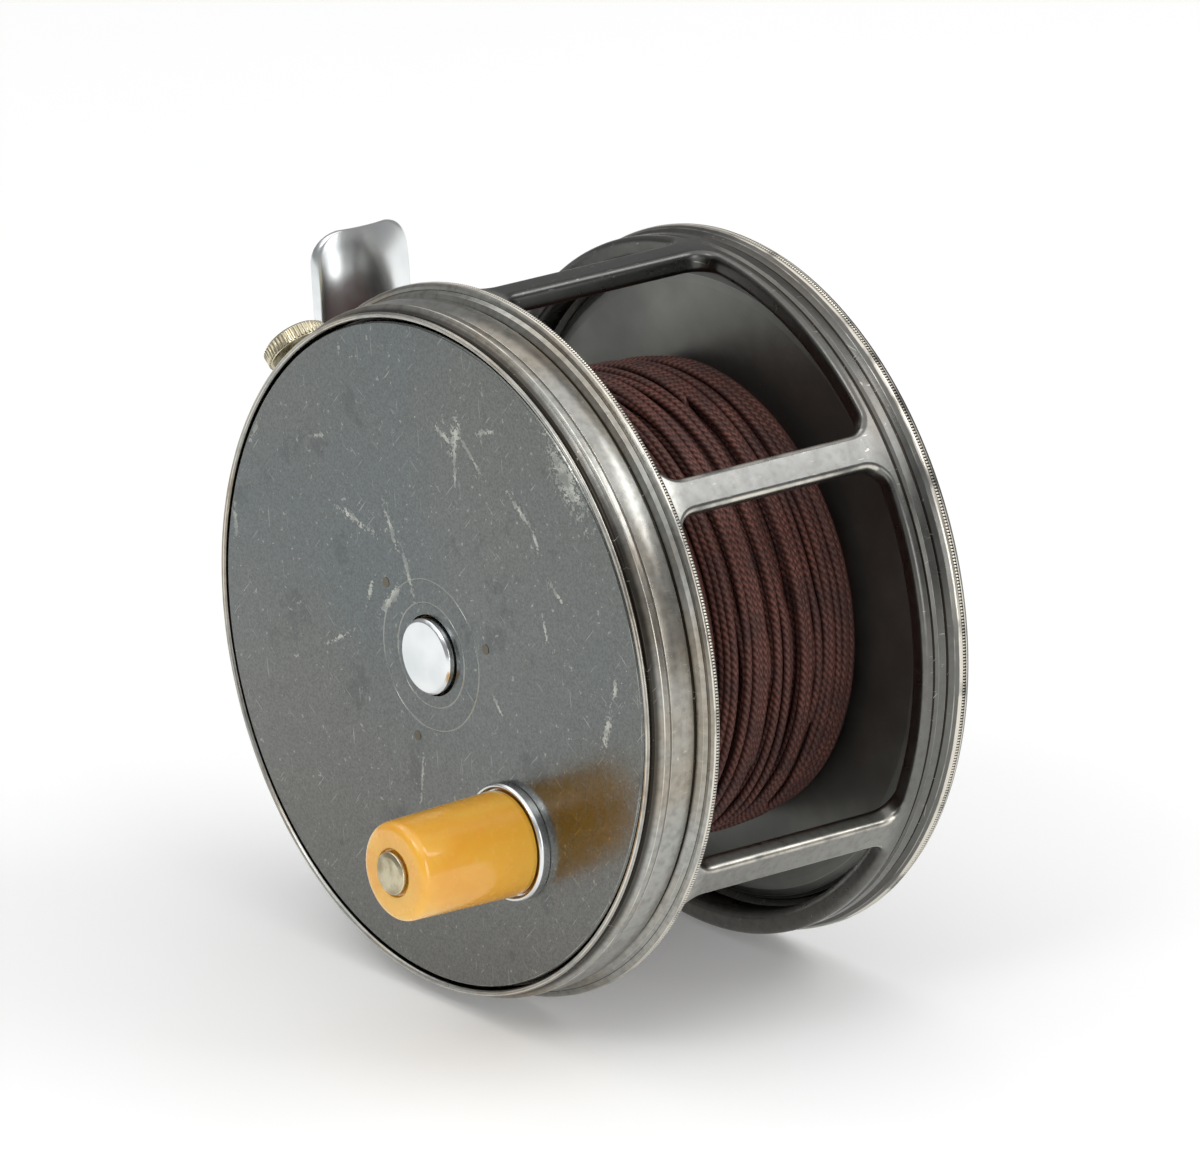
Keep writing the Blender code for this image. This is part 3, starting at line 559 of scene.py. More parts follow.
def strand_mesh(name, depths, radii, sides, step):
    """A tube along part of the winding, with its length and girth as UVs."""
    turn = 2 * np.pi * np.arange(0, len(depths), step) / LINE_SAMPLES
    count = len(turn)
    vertices = np.zeros((count * sides, 3))
    girth = 2 * np.pi * np.arange(sides) / sides
    radius = radii[::step][:, None] + STRAND / 2 * np.cos(girth)[None, :]
    depth = depths[::step][:, None] + STRAND / 2 * np.sin(girth)[None, :]
    vertices[:, 0] = (radius * np.cos(turn)[:, None]).reshape(-1) * MM
    vertices[:, 2] = (radius * np.sin(turn)[:, None]).reshape(-1) * MM
    vertices[:, 1] = ((depth - REEL_DEPTH) * MM).reshape(-1)
    faces = []
    uvs = []
    travel = np.concatenate([[0.0], np.cumsum(radii[::step][1:] * 2 * np.pi * step / LINE_SAMPLES)])
    for ring in range(count - 1):
        for side in range(sides):
            following = (side + 1) % sides
            faces.append((ring * sides + side, ring * sides + following,
                          (ring + 1) * sides + following, (ring + 1) * sides + side))
            for along, around in ((ring, side), (ring, side + 1),
                                  (ring + 1, side + 1), (ring + 1, side)):
                uvs += [travel[along], around / sides]
    faces.append(tuple(range(sides)))
    faces.append(tuple(reversed(range((count - 1) * sides, count * sides))))
    uvs += [0.0, 0.0] * (2 * sides)
    mesh = bpy.data.meshes.new(name)
    mesh.from_pydata(vertices.tolist(), [], faces)
    layer = mesh.uv_layers.new(name="strand")
    layer.data.foreach_set("uv", uvs)
    return finish_mesh(name, mesh, sharp=80.0)


def build_line(finish):
    """The line on the drum: a core of buried turns, and the outer turns strand by strand."""
    depths, radii = wound_path()
    buried = LINE_BURIED_TURNS * LINE_SAMPLES
    inside = ARBOR_RADIUS + 0.3
    core = [(inside, LINE_REAR), (inside, LINE_FRONT), (27.4, LINE_FRONT), (28.4, 14.0), (28.4, 45.0),
            (27.4, LINE_REAR)]
    pieces = [
        lathe("line_core", rounded(core, 0.5), 96),
        strand_mesh("line_under", depths[:buried + 1], radii[:buried + 1], 6, 2),
        strand_mesh("line_outer", depths[buried:], radii[buried:], 8, 1),
    ]
    for piece in pieces:
        dress(piece, finish, "drum", "dressed_silk", "line_winding")


# ---------------------------------------------------------------- handle, foot and screws

def build_handle(polished, resin, nickel):
    """Dished collar, tapered knob and the headed pin it turns on."""
    place = axial_frame(*HANDLE)
    collar = [(1.9, -0.05), (7.9, -0.05, 0.05), (7.9, -1.15, 0.3), (7.65, -1.55, 0.2),
              (7.4, -1.5, 0.12), (7.2, -0.9, 0.15), (1.9, -0.85)]
    ring = lathe("handle_ring", rounded(collar, 0.1), 144, place)
    dress(ring, polished, "drum", "polished_alloy", "handle_collar")
    end = KNOB_FRONT - KNOB_LENGTH
    grip = [(1.9, KNOB_FRONT), (6.9, KNOB_FRONT, 0.25), (7.05, -2.2, 0.6), (6.62, end, 1.9),
            (3.25, end, 0.2), (3.15, end + 0.35, 0.1), (1.9, end + 0.35)]
    knob = lathe("amber_knob", rounded(grip, 0.2, 8), 144, place)
    dress(knob, resin, "knob", "amber_resin", "handle_knob")
    shank = [(0.0, end - 0.72), (2.2, end - 0.7, 0.4), (2.85, end - 0.45, 0.2), (2.9, end + 0.1, 0.1),
             (1.5, end + 0.1), (1.5, 3.2), (0.0, 3.2)]
    pin = lathe("knob_pin", rounded(shank, 0.05), 64, place)
    dress(pin, nickel, "drum", "nickel_silver", "handle_pin")


def foot_half_width(along):
    """Half width of the foot, with rounded corners at its two ends."""
    full = FOOT_WIDTH / 2
    into = abs(along) - (FOOT_HALF - FOOT_CORNER)
    if into <= 0.0:
        return full
    return full - FOOT_CORNER + math.sqrt(max(FOOT_CORNER * FOOT_CORNER - into * into, 0.0))


def foot_loop(along, slim):
    """Cross-section of the foot: hollow to the rod, rounded edges, full to the reel."""
    half = foot_half_width(along)
    full = FOOT_WIDTH / 2
    flat = min(1.0, max(0.0, 1.0 - (abs(along) - FOOT_BASE) / FOOT_RUNOUT))
    into_tip = max(0.0, abs(along) - (FOOT_HALF - FOOT_TIP_REACH)) / FOOT_TIP_REACH
    lift = FOOT_TIP_LIFT * into_tip * into_tip
    facets = 20
    top = []
    bottom = []
    for index in range(facets + 1):
        side = half * math.sin(math.pi * (index / facets - 0.5))
        hollow = FOOT_HOLLOW * (side / full) ** 2
        upper = FOOT_TOP + hollow
        lower = FOOT_UNDERSIDE + (1.0 - flat) * hollow + lift
        near_edge = max(0.0, 1.0 - (half - abs(side)) / FOOT_EDGE)
        pinch = 0.38 * (upper - lower) * (1.0 - math.sqrt(max(0.0, 1.0 - near_edge ** 2)))
        middle = (upper + lower) / 2
        reach = ((upper - lower) / 2 - pinch) * slim
        top.append((side, middle + reach, near_edge))
        bottom.append((side, middle - reach, near_edge))
    return top + bottom[::-1]


def build_foot(finish):
    """The polished foot with its two hollow tongues and four countersunk screw holes."""
    gaps = 60
    stations = [(FOOT_HALF * math.sin(math.pi * (index / gaps - 0.5)), 1.0) for index in range(1, gaps)]
    stations = [(-FOOT_HALF, 0.45)] + stations + [(FOOT_HALF, 0.45)]
    place = radial_frame(FOOT_ANGLE, FOOT_DEPTH)
    vertices = []
    wear_and_shade = []
    faces = []
    for along, slim in stations:
        for side, height, edge in foot_loop(along, slim):
            vertices.append(place @ Vector((side * MM, (along + FOOT_SHIFT) * MM, height * MM)))
            wear_and_shade.append(edge)
    ring = len(vertices) // len(stations)
    for row in range(len(stations) - 1):
        for index in range(ring):
            following = (index + 1) % ring
            faces.append((row * ring + index, row * ring + following,
                          (row + 1) * ring + following, (row + 1) * ring + index))
    half = ring // 2
    for start in (0, (len(stations) - 1) * ring):
        for index in range(half - 1):
            near = start + index
            far = start + ring - 1 - index
            faces.append((near, near + 1, far - 1, far))
    mesh = bpy.data.meshes.new("foot_casting")
    mesh.from_pydata(vertices, [], faces)
    foot = finish_mesh("foot_casting", mesh, wear_and_shade, sharp=50.0)
    outline = ((0.0, 44.0), (1.3, 44.0), (1.3, 46.9), (2.1, 47.3), (2.1, 50.0), (0.0, 50.0))
    hole = [(radius, height, 0.0) for radius, height in outline]
    for screw_place in foot_screw_frames():
        carve(foot, lathe("screw_hole", hole, 32, screw_place))
    dress(foot, finish, "frame", "polished_alloy", "foot")


def foot_screw_frames():
    """A radial frame for each of the four foot screws."""
    return [radial_frame(FOOT_ANGLE, FOOT_DEPTH + side, along) for along, side in FOOT_SCREW_PLACES]


def build_foot_screws(finish):
    """Slotted countersunk screws in the foot."""
    profile = [(0.0, 43.6), (1.0, 43.6), (1.0, 46.9), (1.85, 47.35), (1.85, 47.9), (0.0, 48.0)]
    for index, place in enumerate(foot_screw_frames()):
        screw = lathe("slotted_screw_%d" % (index + 1), rounded(profile, 0.08), 32, place)
        turned = place @ Matrix.Rotation(0.5 + 1.1 * index, 4, "Z")
        carve(screw, block("slot", turned, (-3.0, -0.2, 47.55), (3.0, 0.2, 49.0)))
        dress(screw, finish, "frame", "steel", "foot_screw_%d" % (index + 1))


def build_regulator(finish):
    """The regulator's knurled head on its shank."""
    place = radial_frame(CHECK_ANGLE, REGULATOR_DEPTH)
    profile = [(0.0, 35.0), (1.3, 35.0), (1.3, 47.85), (4.0, 47.85), (4.35, 48.15, 0.2),
               (4.35, 50.0, 0.2), (3.95, 50.35, 0.25), (0.0, 50.48)]
    head = lathe("regulator_head", rounded(profile, 0.1), 96, place)
    edge = knurl("regulator_edge", 4.32, 48.25, 49.95, 48, 0.26, place)
    knob = joined("regulator_knob", [head, edge])
    dress(knob, finish, "regulator", "nickel_silver", "regulator_screw")


# ---------------------------------------------------------------- materials

class Finish:
    """A Principled material, with short calls for the nodes that feed it."""

    def __init__(self, name, colour, roughness, metallic):
        self.material = bpy.data.materials.new(name)
        self.material.use_nodes = True
        self.nodes = self.material.node_tree.nodes
        self.links = self.material.node_tree.links
        self.shader = self.nodes["Principled BSDF"]
        self.shader.inputs["Base Color"].default_value = (*colour, 1.0)
        self.shader.inputs["Roughness"].default_value = roughness
        self.shader.inputs["Metallic"].default_value = metallic
        self.place = self.nodes.new("ShaderNodeTexCoord").outputs["Object"]

    def put(self, socket, value):
        """Link an output, or set a plain value, on a socket."""
        if isinstance(value, bpy.types.NodeSocket):
            self.links.new(value, socket)
        elif socket.type == "RGBA":
            socket.default_value = (*value, 1.0)
        else:
            socket.default_value = value

    def math(self, operation, first, second=0.0, clamp=False):
        """One arithmetic step."""
        node = self.nodes.new("ShaderNodeMath")
        node.operation = operation
        node.use_clamp = clamp
        for socket, value in zip(node.inputs, (first, second)):
            self.put(socket, value)
        return node.outputs[0]

    def ramp(self, value, low, high, to_low=0.0, to_high=1.0):
        """A smooth step of a value from low to high."""
        node = self.nodes.new("ShaderNodeMapRange")
        node.interpolation_type = "SMOOTHSTEP"
        for socket, item in zip(node.inputs, (value, low, high, to_low, to_high)):
            self.put(socket, item)
        return node.outputs[0]

    def mix(self, share, first, second):
        """A blend of two colours."""
        node = self.nodes.new("ShaderNodeMix")
        node.data_type = "RGBA"
        shown = [socket for socket in node.inputs if socket.enabled]
        for socket, value in zip(shown, (share, first, second)):
            self.put(socket, value)
        return next(socket for socket in node.outputs if socket.enabled)

    def stretched(self, turn, scale, shift=(0.0, 0.0, 0.0)):
        """Object coordinates turned about the spin axis, then scaled."""
        node = self.nodes.new("ShaderNodeMapping")
        node.vector_type = "TEXTURE"
        node.inputs["Location"].default_value = shift
        node.inputs["Rotation"].default_value = (0.0, turn, 0.0)
        node.inputs["Scale"].default_value = [1.0 / value for value in scale]
        self.links.new(self.place, node.inputs["Vector"])
        return node.outputs[0]

    def noise(self, scale, detail=2.0, vector=None, roughness=0.5, distortion=0.0):
        """Noise of a given scale, from 0 to 1."""
        node = self.nodes.new("ShaderNodeTexNoise")
        self.put(node.inputs["Vector"], vector or self.place)
        node.inputs["Scale"].default_value = scale
        node.inputs["Detail"].default_value = detail
        node.inputs["Roughness"].default_value = roughness
        node.inputs["Distortion"].default_value = distortion
        return node.outputs["Fac"]

    def split(self, vector):
        """The three parts of a vector."""
        node = self.nodes.new("ShaderNodeSeparateXYZ")
        self.links.new(vector, node.inputs[0])
        return node.outputs

    def radius(self):
        """Distance from the spin axis."""
        across, _, up = self.split(self.place)
        square = self.math("ADD", self.math("MULTIPLY", across, across), self.math("MULTIPLY", up, up))
        return self.math("SQRT", square)

    def depth(self):
        """Place along the spin axis."""
        return self.split(self.place)[1]

    def height(self):
        """Place above the spin axis."""
        return self.split(self.place)[2]

    def round_place(self):
        """Radius and depth as a vector: the same all the way round the spin axis."""
        join = self.nodes.new("ShaderNodeCombineXYZ")
        self.links.new(self.radius(), join.inputs[0])
        self.links.new(self.depth(), join.inputs[1])
        return join.outputs[0]

    def circle(self, radius, width):
        """A thin circle about the spin axis, sizes in mm, from 0 to 1."""
        off = self.math("ABSOLUTE", self.math("SUBTRACT", self.radius(), radius * MM))
        return self.ramp(off, width * MM, width * MM * 0.3)

    def mark(self, x, z, degrees, length, width, ragged):
        """A ragged stroke about a place on the face, sizes in mm, from 0 to 1."""
        node = self.nodes.new("ShaderNodeMapping")
        node.vector_type = "TEXTURE"
        node.inputs["Location"].default_value = (x * MM, world_y(0.0), z * MM)
        node.inputs["Rotation"].default_value = (0.0, -math.radians(degrees), 0.0)
        node.inputs["Scale"].default_value = (length / 2 * MM, 1.0, width / 2 * MM)
        self.links.new(self.place, node.inputs["Vector"])
        reach = self.nodes.new("ShaderNodeVectorMath")
        reach.operation = "LENGTH"
        self.links.new(node.outputs[0], reach.inputs[0])
        return self.ramp(self.math("ADD", reach.outputs["Value"], ragged), 1.0, 0.75)

    def highest(self, values):
        """The highest of several values."""
        best = values[0]
        for value in values[1:]:
            best = self.math("MAXIMUM", best, value)
        return best

    def wear_and_shade(self):
        """The wear stored on the mesh: above 0 on its outer edges; below 0 in its hollows, where it marks
        painted shade.
        """
        node = self.nodes.new("ShaderNodeAttribute")
        node.attribute_name = "wear_and_shade"
        return node.outputs["Fac"]

    def scratches(self, turn, length, width, low, high, shift):
        """Sparse fine strokes that run one way, with their length and width in mm."""
        stroke = self.noise(1.0, 1.0, self.stretched(turn, (1000 / length, 400.0, 1000 / width), shift))
        return self.ramp(stroke, low, high)

    def bump(self, height, distance, strength=1.0, normal=None):
        """A bump from a height, on top of another one if given."""
        node = self.nodes.new("ShaderNodeBump")
        node.inputs["Strength"].default_value = strength
        node.inputs["Distance"].default_value = distance
        self.links.new(height, node.inputs["Height"])
        if normal is not None:
            self.links.new(normal, node.inputs["Normal"])
        return node.outputs[0]

    def use(self, name, value):
        """Feed one of the shader's own sockets."""
        self.put(self.shader.inputs[name], value)


def cage_patina_with_shade(f, top_shade_mask, past_front, before_rear):
    """Patina of the cage, pale in front and darker at the back, with painted shade that darkens the bars
    higher up and the top bar most of all.
    """
    tint = f.ramp(f.noise(55.0, 3.0), 0.42, 0.66)
    front = f.mix(tint, (0.4, 0.4, 0.375), (0.36, 0.315, 0.255))
    rear = f.mix(tint, (0.15, 0.15, 0.142), (0.148, 0.139, 0.126))
    # painted shade: the bars get darker with height, and the top bar darkest
    height_shade = f.ramp(f.height(), -40.0 * MM, 5.0 * MM)
    bars = f.mix(height_shade, (0.3, 0.295, 0.27), (0.2, 0.2, 0.192))
    bars = f.mix(top_shade_mask, bars, (0.11, 0.112, 0.108))
    patina_and_shade = f.mix(before_rear, rear, f.mix(past_front, front, bars))
    mottle = f.ramp(f.noise(900.0, 4.0), 0.35, 0.75)
    return f.mix(f.math("MULTIPLY", mottle, 0.35), patina_and_shade, (0.1, 0.095, 0.085))


def bronzed_painted_shade(f):
    """Painted shade in every hollow corner and along the front ring's grooves, from 0 to 1."""
    sunk = f.ramp(f.radius(), (BORE + 1.95) * MM, (BORE + 1.4) * MM)
    behind_lip = f.ramp(f.depth(), world_y(0.1), world_y(0.5))
    in_front = f.ramp(f.depth(), world_y(WINDOW_FRONT - 1.5), world_y(WINDOW_FRONT - 2.0))
    grooves = f.math("MULTIPLY", sunk, f.math("MULTIPLY", behind_lip, in_front))
    return f.math("MAXIMUM", f.math("MULTIPLY", grooves, 0.85), f.ramp(f.wear_and_shade(), -0.03, -0.3))


def bronzed_brightness(f, shade_on_bar):
    """Bare metal on worn edges and rims, in flecks and along fine scratches, from 0 to 1; painted shade holds
    most of it back on the top bar.
    """
    on_rim = f.ramp(f.radius(), KNURL_FOOT * MM, (RIM_RADIUS - 0.02) * MM)
    patchy = f.ramp(f.noise(190.0, 4.0), 0.3, 0.6, 0.4, 1.0)
    rubbed = f.math("MULTIPLY", f.math("MAXIMUM", f.wear_and_shade(), on_rim), patchy)
    # painted shade: the top bar keeps little of its bright worn metal
    rubbed = f.math("MULTIPLY", rubbed, f.math("SUBTRACT", 1.0, f.math("MULTIPLY", shade_on_bar, 0.8)))
    flecks = f.ramp(f.noise(1500.0, 2.0), 0.72, 0.78)
    strokes = [f.scratches(turn, length, 0.22, 0.75, 0.8, (0.011 * turn, 0.0, 0.0))
               for turn, length in ((0.3, 6.0), (-1.1, 9.0), (1.9, 5.0))]
    faint = f.math("MULTIPLY", f.highest(strokes + [flecks]), 0.4)
    return f.math("MAXIMUM", f.ramp(rubbed, 0.2, 0.75), faint)


def bronzed_finish():
    """Dark bronzed casting: turned lines, a faint brown patina, painted shade in the hollows, grooves and on
    the top bar, and edges worn to bright metal.
    """
    f = Finish("bronzed_alloy", (0.2, 0.2, 0.19), 0.3, 1.0)
    # painted shade: height mask for the top of the cage
    top_shade_mask = f.ramp(f.height(), 30.0 * MM, 44.0 * MM)
    past_front = f.ramp(f.depth(), world_y(WINDOW_FRONT), world_y(WINDOW_FRONT + 2.0))
    before_rear = f.ramp(f.depth(), world_y(WINDOW_REAR + 1.5), world_y(WINDOW_REAR - 2.0))
    top_bar_shade_mask = f.math("MULTIPLY", top_shade_mask, f.math("MULTIPLY", past_front, before_rear))
    # painted shade, nearly black, laid over the patina in the hollows and grooves
    patina_and_shade = f.mix(bronzed_painted_shade(f), cage_patina_with_shade(f, top_shade_mask, past_front, before_rear), (0.03, 0.026, 0.021))
    f.use("Base Color", f.mix(bronzed_brightness(f, top_bar_shade_mask), patina_and_shade, (0.7, 0.66, 0.58)))
    f.use("Roughness", f.ramp(f.noise(400.0, 3.0), 0.3, 0.7, 0.27, 0.33))
    lines = f.noise(9000.0, 2.0, f.round_place())
    pits = f.noise(2600.0, 3.0)
    f.use("Normal", f.bump(pits, 0.00002, 0.3, f.bump(lines, 0.00001, 0.5)))
    return f.material


def face_ground(f):
    """Colour of the face: bluish above, lighter and warmer below as a painted reflection, with fine grain and
    stains.
    """
    cloud = f.ramp(f.noise(24.0, 2.0), 0.35, 0.68)
    base = f.mix(cloud, (0.158, 0.179, 0.184), (0.174, 0.183, 0.175))
    # painted reflection: the face is lighter and warmer towards the bottom
    base = f.mix(f.ramp(f.height(), 12.0 * MM, -30.0 * MM), base, (0.19, 0.189, 0.178))
    grain = f.ramp(f.noise(2600.0, 3.0, roughness=0.65), 0.4, 0.62)
    base = f.mix(f.math("MULTIPLY", grain, 0.5), base, (0.105, 0.105, 0.098))
    stains = f.ramp(f.noise(110.0, 5.0, roughness=0.7), 0.58, 0.66)
    return f.mix(f.math("MULTIPLY", stains, 0.3), base, (0.07, 0.075, 0.078))


def face_brightness(f):
    """Rubbed strokes, fine scratches, engraved circles, flecks and a worn edge, from 0 to 1."""
    ragged = f.math("MULTIPLY", f.math("SUBTRACT", f.noise(1300.0, 4.0, roughness=0.75), 0.5), 7.0)
    patchy = f.ramp(f.noise(650.0, 4.0, roughness=0.7), 0.36, 0.62, 0.25, 1.0)
    marks = f.math("MULTIPLY", patchy, f.highest([f.mark(*values, ragged) for values in FACE_MARKS]))
    lines = [f.scratches(turn, length, 0.22, 0.75, 0.79, (0.013 * number, 0.0, 0.007 * number))
             for number, (turn, length) in enumerate(((0.6, 5.0), (-0.9, 4.0), (1.45, 7.0), (2.3, 6.0)))]
    circles = [f.circle(radius, 0.14) for radius in ENGRAVED_CIRCLES]
    flecks = f.ramp(f.noise(1300.0, 3.0, roughness=0.6), 0.655, 0.7)
    worn_edge = f.ramp(f.math("MULTIPLY", f.wear_and_shade(), f.noise(300.0, 3.0)), 0.2, 0.45)
    faint = f.math("MULTIPLY", f.highest(lines + circles + [flecks]), 0.45)
    return f.math("MAXIMUM", faint, f.highest([marks, worn_edge]), clamp=True)


def face_finish():
    """The revolving plate: dark leaded metal with fine grain, scratches and rubbed places."""
    f = Finish("leaded_alloy", (0.17, 0.18, 0.18), 0.25, 1.0)
    f.use("Base Color", f.mix(face_brightness(f), face_ground(f), (0.5, 0.51, 0.46)))
    f.use("Roughness", f.ramp(f.noise(500.0, 3.0), 0.3, 0.7, 0.2, 0.3))
    turned = f.noise(7000.0, 2.0, f.round_place())
    f.use("Normal", f.bump(f.noise(1400.0, 3.0), 0.00002, 0.35, f.bump(turned, 0.00001, 0.35)))
    return f.material


def drum_finish():
    """Matt dark drum metal with faint turned lines and smudges, bright at the rolled rim."""
    f = Finish("drum_alloy", (0.22, 0.225, 0.21), 0.42, 1.0)
    cloud = f.ramp(f.noise(60.0, 4.0), 0.35, 0.7)
    base = f.mix(cloud, (0.25, 0.255, 0.24), (0.38, 0.385, 0.36))
    f.use("Base Color", f.mix(f.ramp(f.wear_and_shade(), 0.1, 0.4), base, (0.92, 0.91, 0.88)))
    f.use("Roughness", f.ramp(f.wear_and_shade(), 0.1, 0.4, 0.42, 0.3))
    lines = f.noise(5000.0, 2.0, f.round_place())
    f.use("Normal", f.bump(f.noise(2500.0, 3.0), 0.00002, 0.5, f.bump(lines, 0.00001, 0.4)))
    return f.material


def polished_finish():
    """Polished light alloy with fine hairlines and faint smears."""
    f = Finish("polished_alloy", (0.84, 0.86, 0.86), 0.18, 1.0)
    smear = f.ramp(f.noise(120.0, 3.0), 0.35, 0.7)
    f.use("Base Color", f.mix(smear, (0.86, 0.88, 0.88), (0.72, 0.75, 0.76)))
    f.use("Roughness", f.ramp(smear, 0.0, 1.0, 0.2, 0.27))
    hair = f.noise(1.0, 2.0, f.stretched(0.0, (260.0, 9000.0, 300.0)))
    f.use("Normal", f.bump(hair, 0.00001, 0.25))
    return f.material


def nickel_finish():
    """Aged nickel silver, greenish in its hollows and brighter on its crests."""
    f = Finish("nickel_silver", (0.55, 0.49, 0.34), 0.3, 1.0)
    aged = f.ramp(f.noise(500.0, 4.0), 0.35, 0.7)
    base = f.mix(aged, (0.6, 0.54, 0.38), (0.36, 0.31, 0.2))
    f.use("Base Color", f.mix(f.ramp(f.wear_and_shade(), 0.3, 1.0), base, (0.75, 0.69, 0.52)))
    f.use("Roughness", f.ramp(aged, 0.0, 1.0, 0.22, 0.42))
    f.use("Normal", f.bump(f.noise(3500.0, 3.0), 0.00002, 0.35))
    return f.material


def brass_finish():
    """Turned brass, a little tarnished, and dull where it shows in the face."""
    f = Finish("brass", (0.6, 0.44, 0.2), 0.3, 1.0)
    tarnish = f.ramp(f.noise(600.0, 4.0), 0.4, 0.75)
    base = f.mix(tarnish, (0.62, 0.46, 0.22), (0.3, 0.2, 0.09))
    exposed = f.ramp(f.depth(), world_y(0.3), world_y(0.1))
    f.use("Base Color", f.mix(exposed, base, (0.14, 0.125, 0.095)))
    f.use("Roughness", f.ramp(tarnish, 0.0, 1.0, 0.24, 0.45))
    f.use("Normal", f.bump(f.noise(6000.0, 2.0, f.round_place()), 0.00001, 0.3))
    return f.material


def steel_finish():
    """Turned steel with an oily brown bloom."""
    f = Finish("steel", (0.45, 0.45, 0.46), 0.28, 1.0)
    bloom = f.ramp(f.noise(700.0, 4.0), 0.5, 0.8)
    f.use("Base Color", f.mix(bloom, (0.5, 0.5, 0.51), (0.26, 0.21, 0.17)))
    f.use("Roughness", f.ramp(bloom, 0.0, 1.0, 0.2, 0.45))
    f.use("Normal", f.bump(f.noise(7000.0, 2.0, f.round_place()), 0.00001, 0.3))
    return f.material


def resin_finish():
    """Amber cast resin: swirled colour, light inside, a hard gloss and fine wear."""
    f = Finish("amber_resin", (0.75, 0.4, 0.07), 0.2, 0.0)
    swirl = f.noise(90.0, 4.0, f.stretched(0.0, (1.0, 0.35, 1.0)), 0.55, 1.2)
    base = f.mix(f.ramp(swirl, 0.3, 0.7), (0.95, 0.54, 0.075), (0.86, 0.41, 0.035))
    f.use("Base Color", base)
    f.use("Roughness", f.ramp(f.noise(800.0, 3.0), 0.35, 0.7, 0.16, 0.3))
    f.use("Subsurface Weight", 0.35)
    f.use("Subsurface Radius", (1.0, 0.45, 0.12))
    f.use("Subsurface Scale", 0.0025)
    f.use("Coat Weight", 0.6)
    f.use("Coat Roughness", 0.06)
    f.use("Normal", f.bump(f.noise(1.0, 2.0, f.stretched(0.2, (700.0, 200.0, 900.0))), 0.00001, 0.2))
    return f.material


def silk_finish():
    """Dressed braided line: twisted picks along each strand with painted shade in the crevices between them,
    uneven dye and a waxy sheen.
    """
    f = Finish("dressed_silk", (0.1, 0.045, 0.035), 0.55, 0.0)
    uv = f.nodes.new("ShaderNodeUVMap")
    uv.uv_map = "strand"
    travel, girth, _ = f.split(uv.outputs[0])
    along = f.math("MULTIPLY", travel, math.pi / PICK_LENGTH)
    around = f.math("MULTIPLY", girth, math.pi * PICKS_AROUND)
    twist = f.math("SINE", f.math("ADD", along, around))
    cross = f.math("SINE", f.math("SUBTRACT", along, around))
    height = f.ramp(f.math("ADD", twist, f.math("MULTIPLY", cross, 0.4)), -1.2, 1.2)
    dye = f.ramp(f.noise(220.0, 4.0), 0.35, 0.7)
    base = f.mix(dye, (0.165, 0.056, 0.04), (0.075, 0.032, 0.027))
    # painted shade: the crevices between the picks are coloured nearly black
    f.use("Base Color", f.mix(height, (0.045, 0.017, 0.014), base))
    f.use("Roughness", f.ramp(height, 0.0, 1.0, 0.7, 0.48))
    f.use("Specular IOR Level", 0.35)
    f.use("Normal", f.bump(height, 0.0001, 0.9))
    return f.material


def floor_finish():
    """White translucent sheet, lit a little from below, with the faintest grain."""
    f = Finish("paper", (0.86, 0.87, 0.865), 0.75, 0.0)
    f.use("Base Color", f.mix(f.noise(30.0, 3.0), (0.855, 0.865, 0.86), (0.875, 0.88, 0.875)))
    f.use("Emission Color", (1.0, 1.0, 1.0))
    f.use("Emission Strength", FLOOR_GLOW)
    return f.material


# ---------------------------------------------------------------- stage

def look_from(target, azimuth, elevation, distance):
    """Place and rotation of something that looks at a target from a direction."""
    turn = math.radians(azimuth)
    rise = math.radians(elevation)
    outward = Vector((math.sin(turn) * math.cos(rise), -math.cos(turn) * math.cos(rise), math.sin(rise)))
    return target + outward * distance, (-outward).to_track_quat("-Z", "Y")


def build_camera():
    """A long lens at the reel's front right."""
    data = bpy.data.cameras.new("camera")
    data.lens = CAMERA_LENS
    data.sensor_fit = "HORIZONTAL"
    data.sensor_width = 36.0
    camera = bpy.data.objects.new("camera", data)
    bpy.context.scene.collection.objects.link(camera)
    camera.rotation_mode = "QUATERNION"
    place, rotation = look_from(Vector(CAMERA_TARGET), CAMERA_AZIMUTH, CAMERA_ELEVATION, CAMERA_DISTANCE)
    camera.location = place
    camera.rotation_quaternion = rotation
    bpy.context.scene.camera = camera


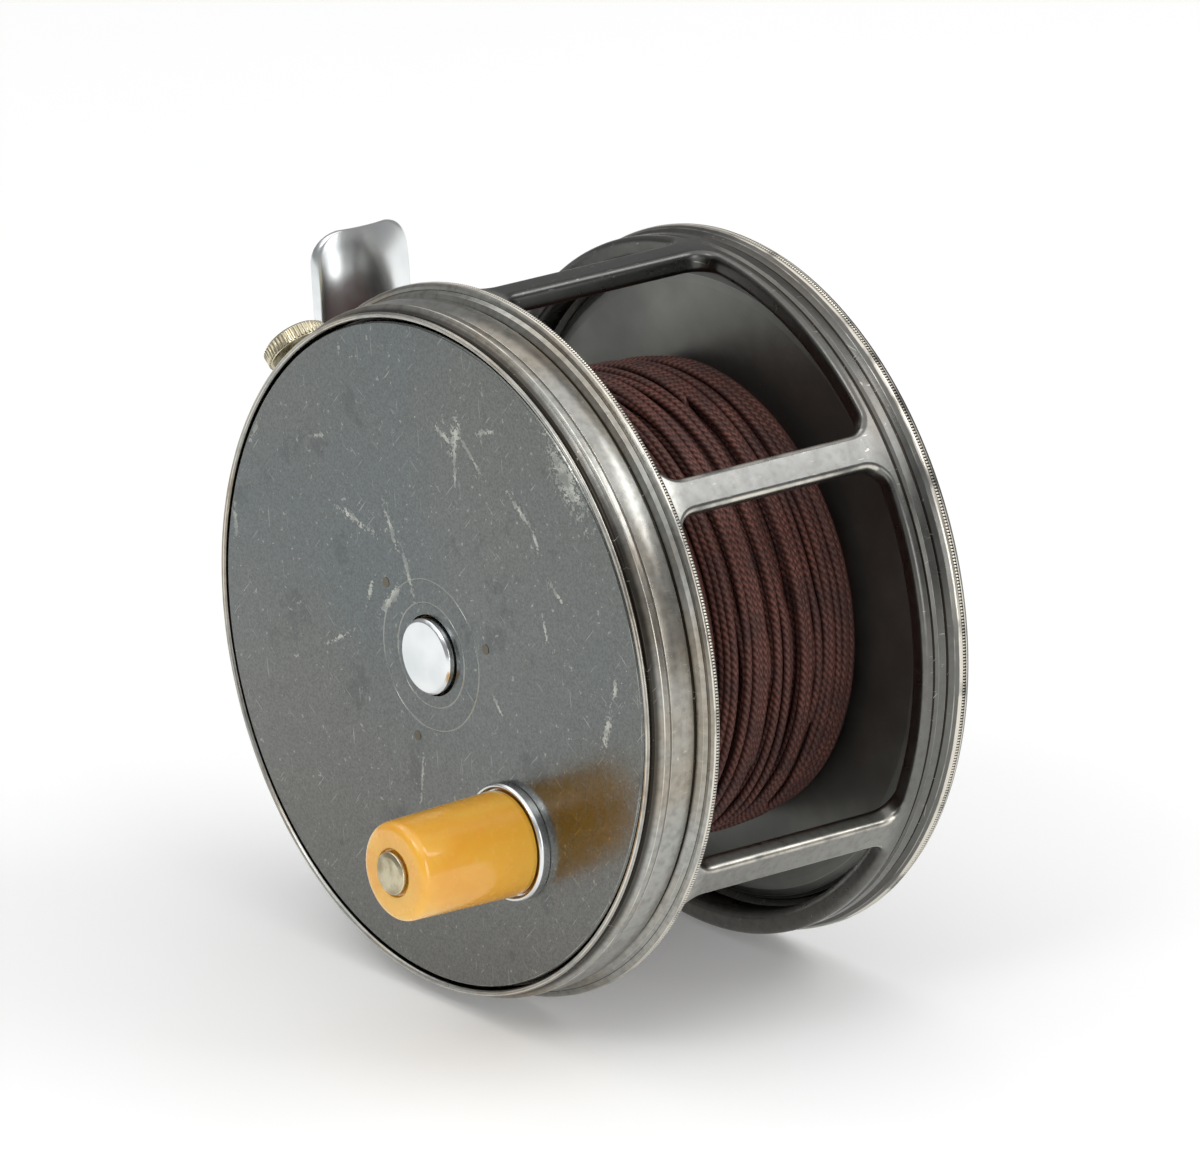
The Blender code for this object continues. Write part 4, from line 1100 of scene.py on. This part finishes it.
def add_softbox(name, azimuth, elevation, distance, size, power):
    """A large rectangular lamp that faces the reel."""
    data = bpy.data.lights.new(name, "AREA")
    data.shape = "RECTANGLE"
    data.size, data.size_y = size
    data.energy = power
    lamp = bpy.data.objects.new(name, data)
    bpy.context.scene.collection.objects.link(lamp)
    lamp.rotation_mode = "QUATERNION"
    place, rotation = look_from(Vector(LAMP_TARGET), azimuth, elevation, distance)
    lamp.location = place
    lamp.rotation_quaternion = rotation


def build_stage():
    """Pale floor, soft lamps and an even white surround."""
    bpy.ops.mesh.primitive_plane_add(size=14.0, location=(0.0, 0.0, FLOOR_Z * MM - 0.0001))
    floor = bpy.context.object
    floor.name = "floor"
    floor.data.materials.append(floor_finish())
    world = bpy.data.worlds.new("surround")
    world.use_nodes = True
    background = world.node_tree.nodes["Background"]
    background.inputs["Color"].default_value = (1.0, 1.0, 1.0, 1.0)
    background.inputs["Strength"].default_value = SURROUND_STRENGTH
    bpy.context.scene.world = world
    for softbox in SOFTBOXES:
        add_softbox(*softbox)
    bpy.context.scene.view_settings.view_transform = "Standard"


# ---------------------------------------------------------------- assembly

def finish_kept_nodes(finishes):
    """Better materials for the CAD pieces that are shown as they are."""
    for entry in frame["record"]["subparts"]:
        node = frame["nodes"][entry["node"]]
        finish = finishes.get(entry["material_slot"])
        for slot in node.material_slots:
            slot.material = finish


def main():
    """Build every piece, then the stage."""
    finishes = {
        "bronzed_alloy": bronzed_finish(),
        "leaded_alloy": face_finish(),
        "drum_alloy": drum_finish(),
        "polished_alloy": polished_finish(),
        "nickel_silver": nickel_finish(),
        "brass": brass_finish(),
        "steel": steel_finish(),
        "amber_resin": resin_finish(),
        "dressed_silk": silk_finish(),
    }
    finish_kept_nodes(finishes)
    build_camera()
    build_cage(finishes["bronzed_alloy"])
    build_front_ring(finishes["bronzed_alloy"])
    build_winding_plate(finishes["leaded_alloy"])
    build_cap(finishes["polished_alloy"])
    build_flanges(finishes["drum_alloy"])
    build_line(finishes["dressed_silk"])
    build_handle(finishes["polished_alloy"], finishes["amber_resin"], finishes["nickel_silver"])
    build_foot(finishes["polished_alloy"])
    build_foot_screws(finishes["steel"])
    build_regulator(finishes["nickel_silver"])
    build_stage()


main()
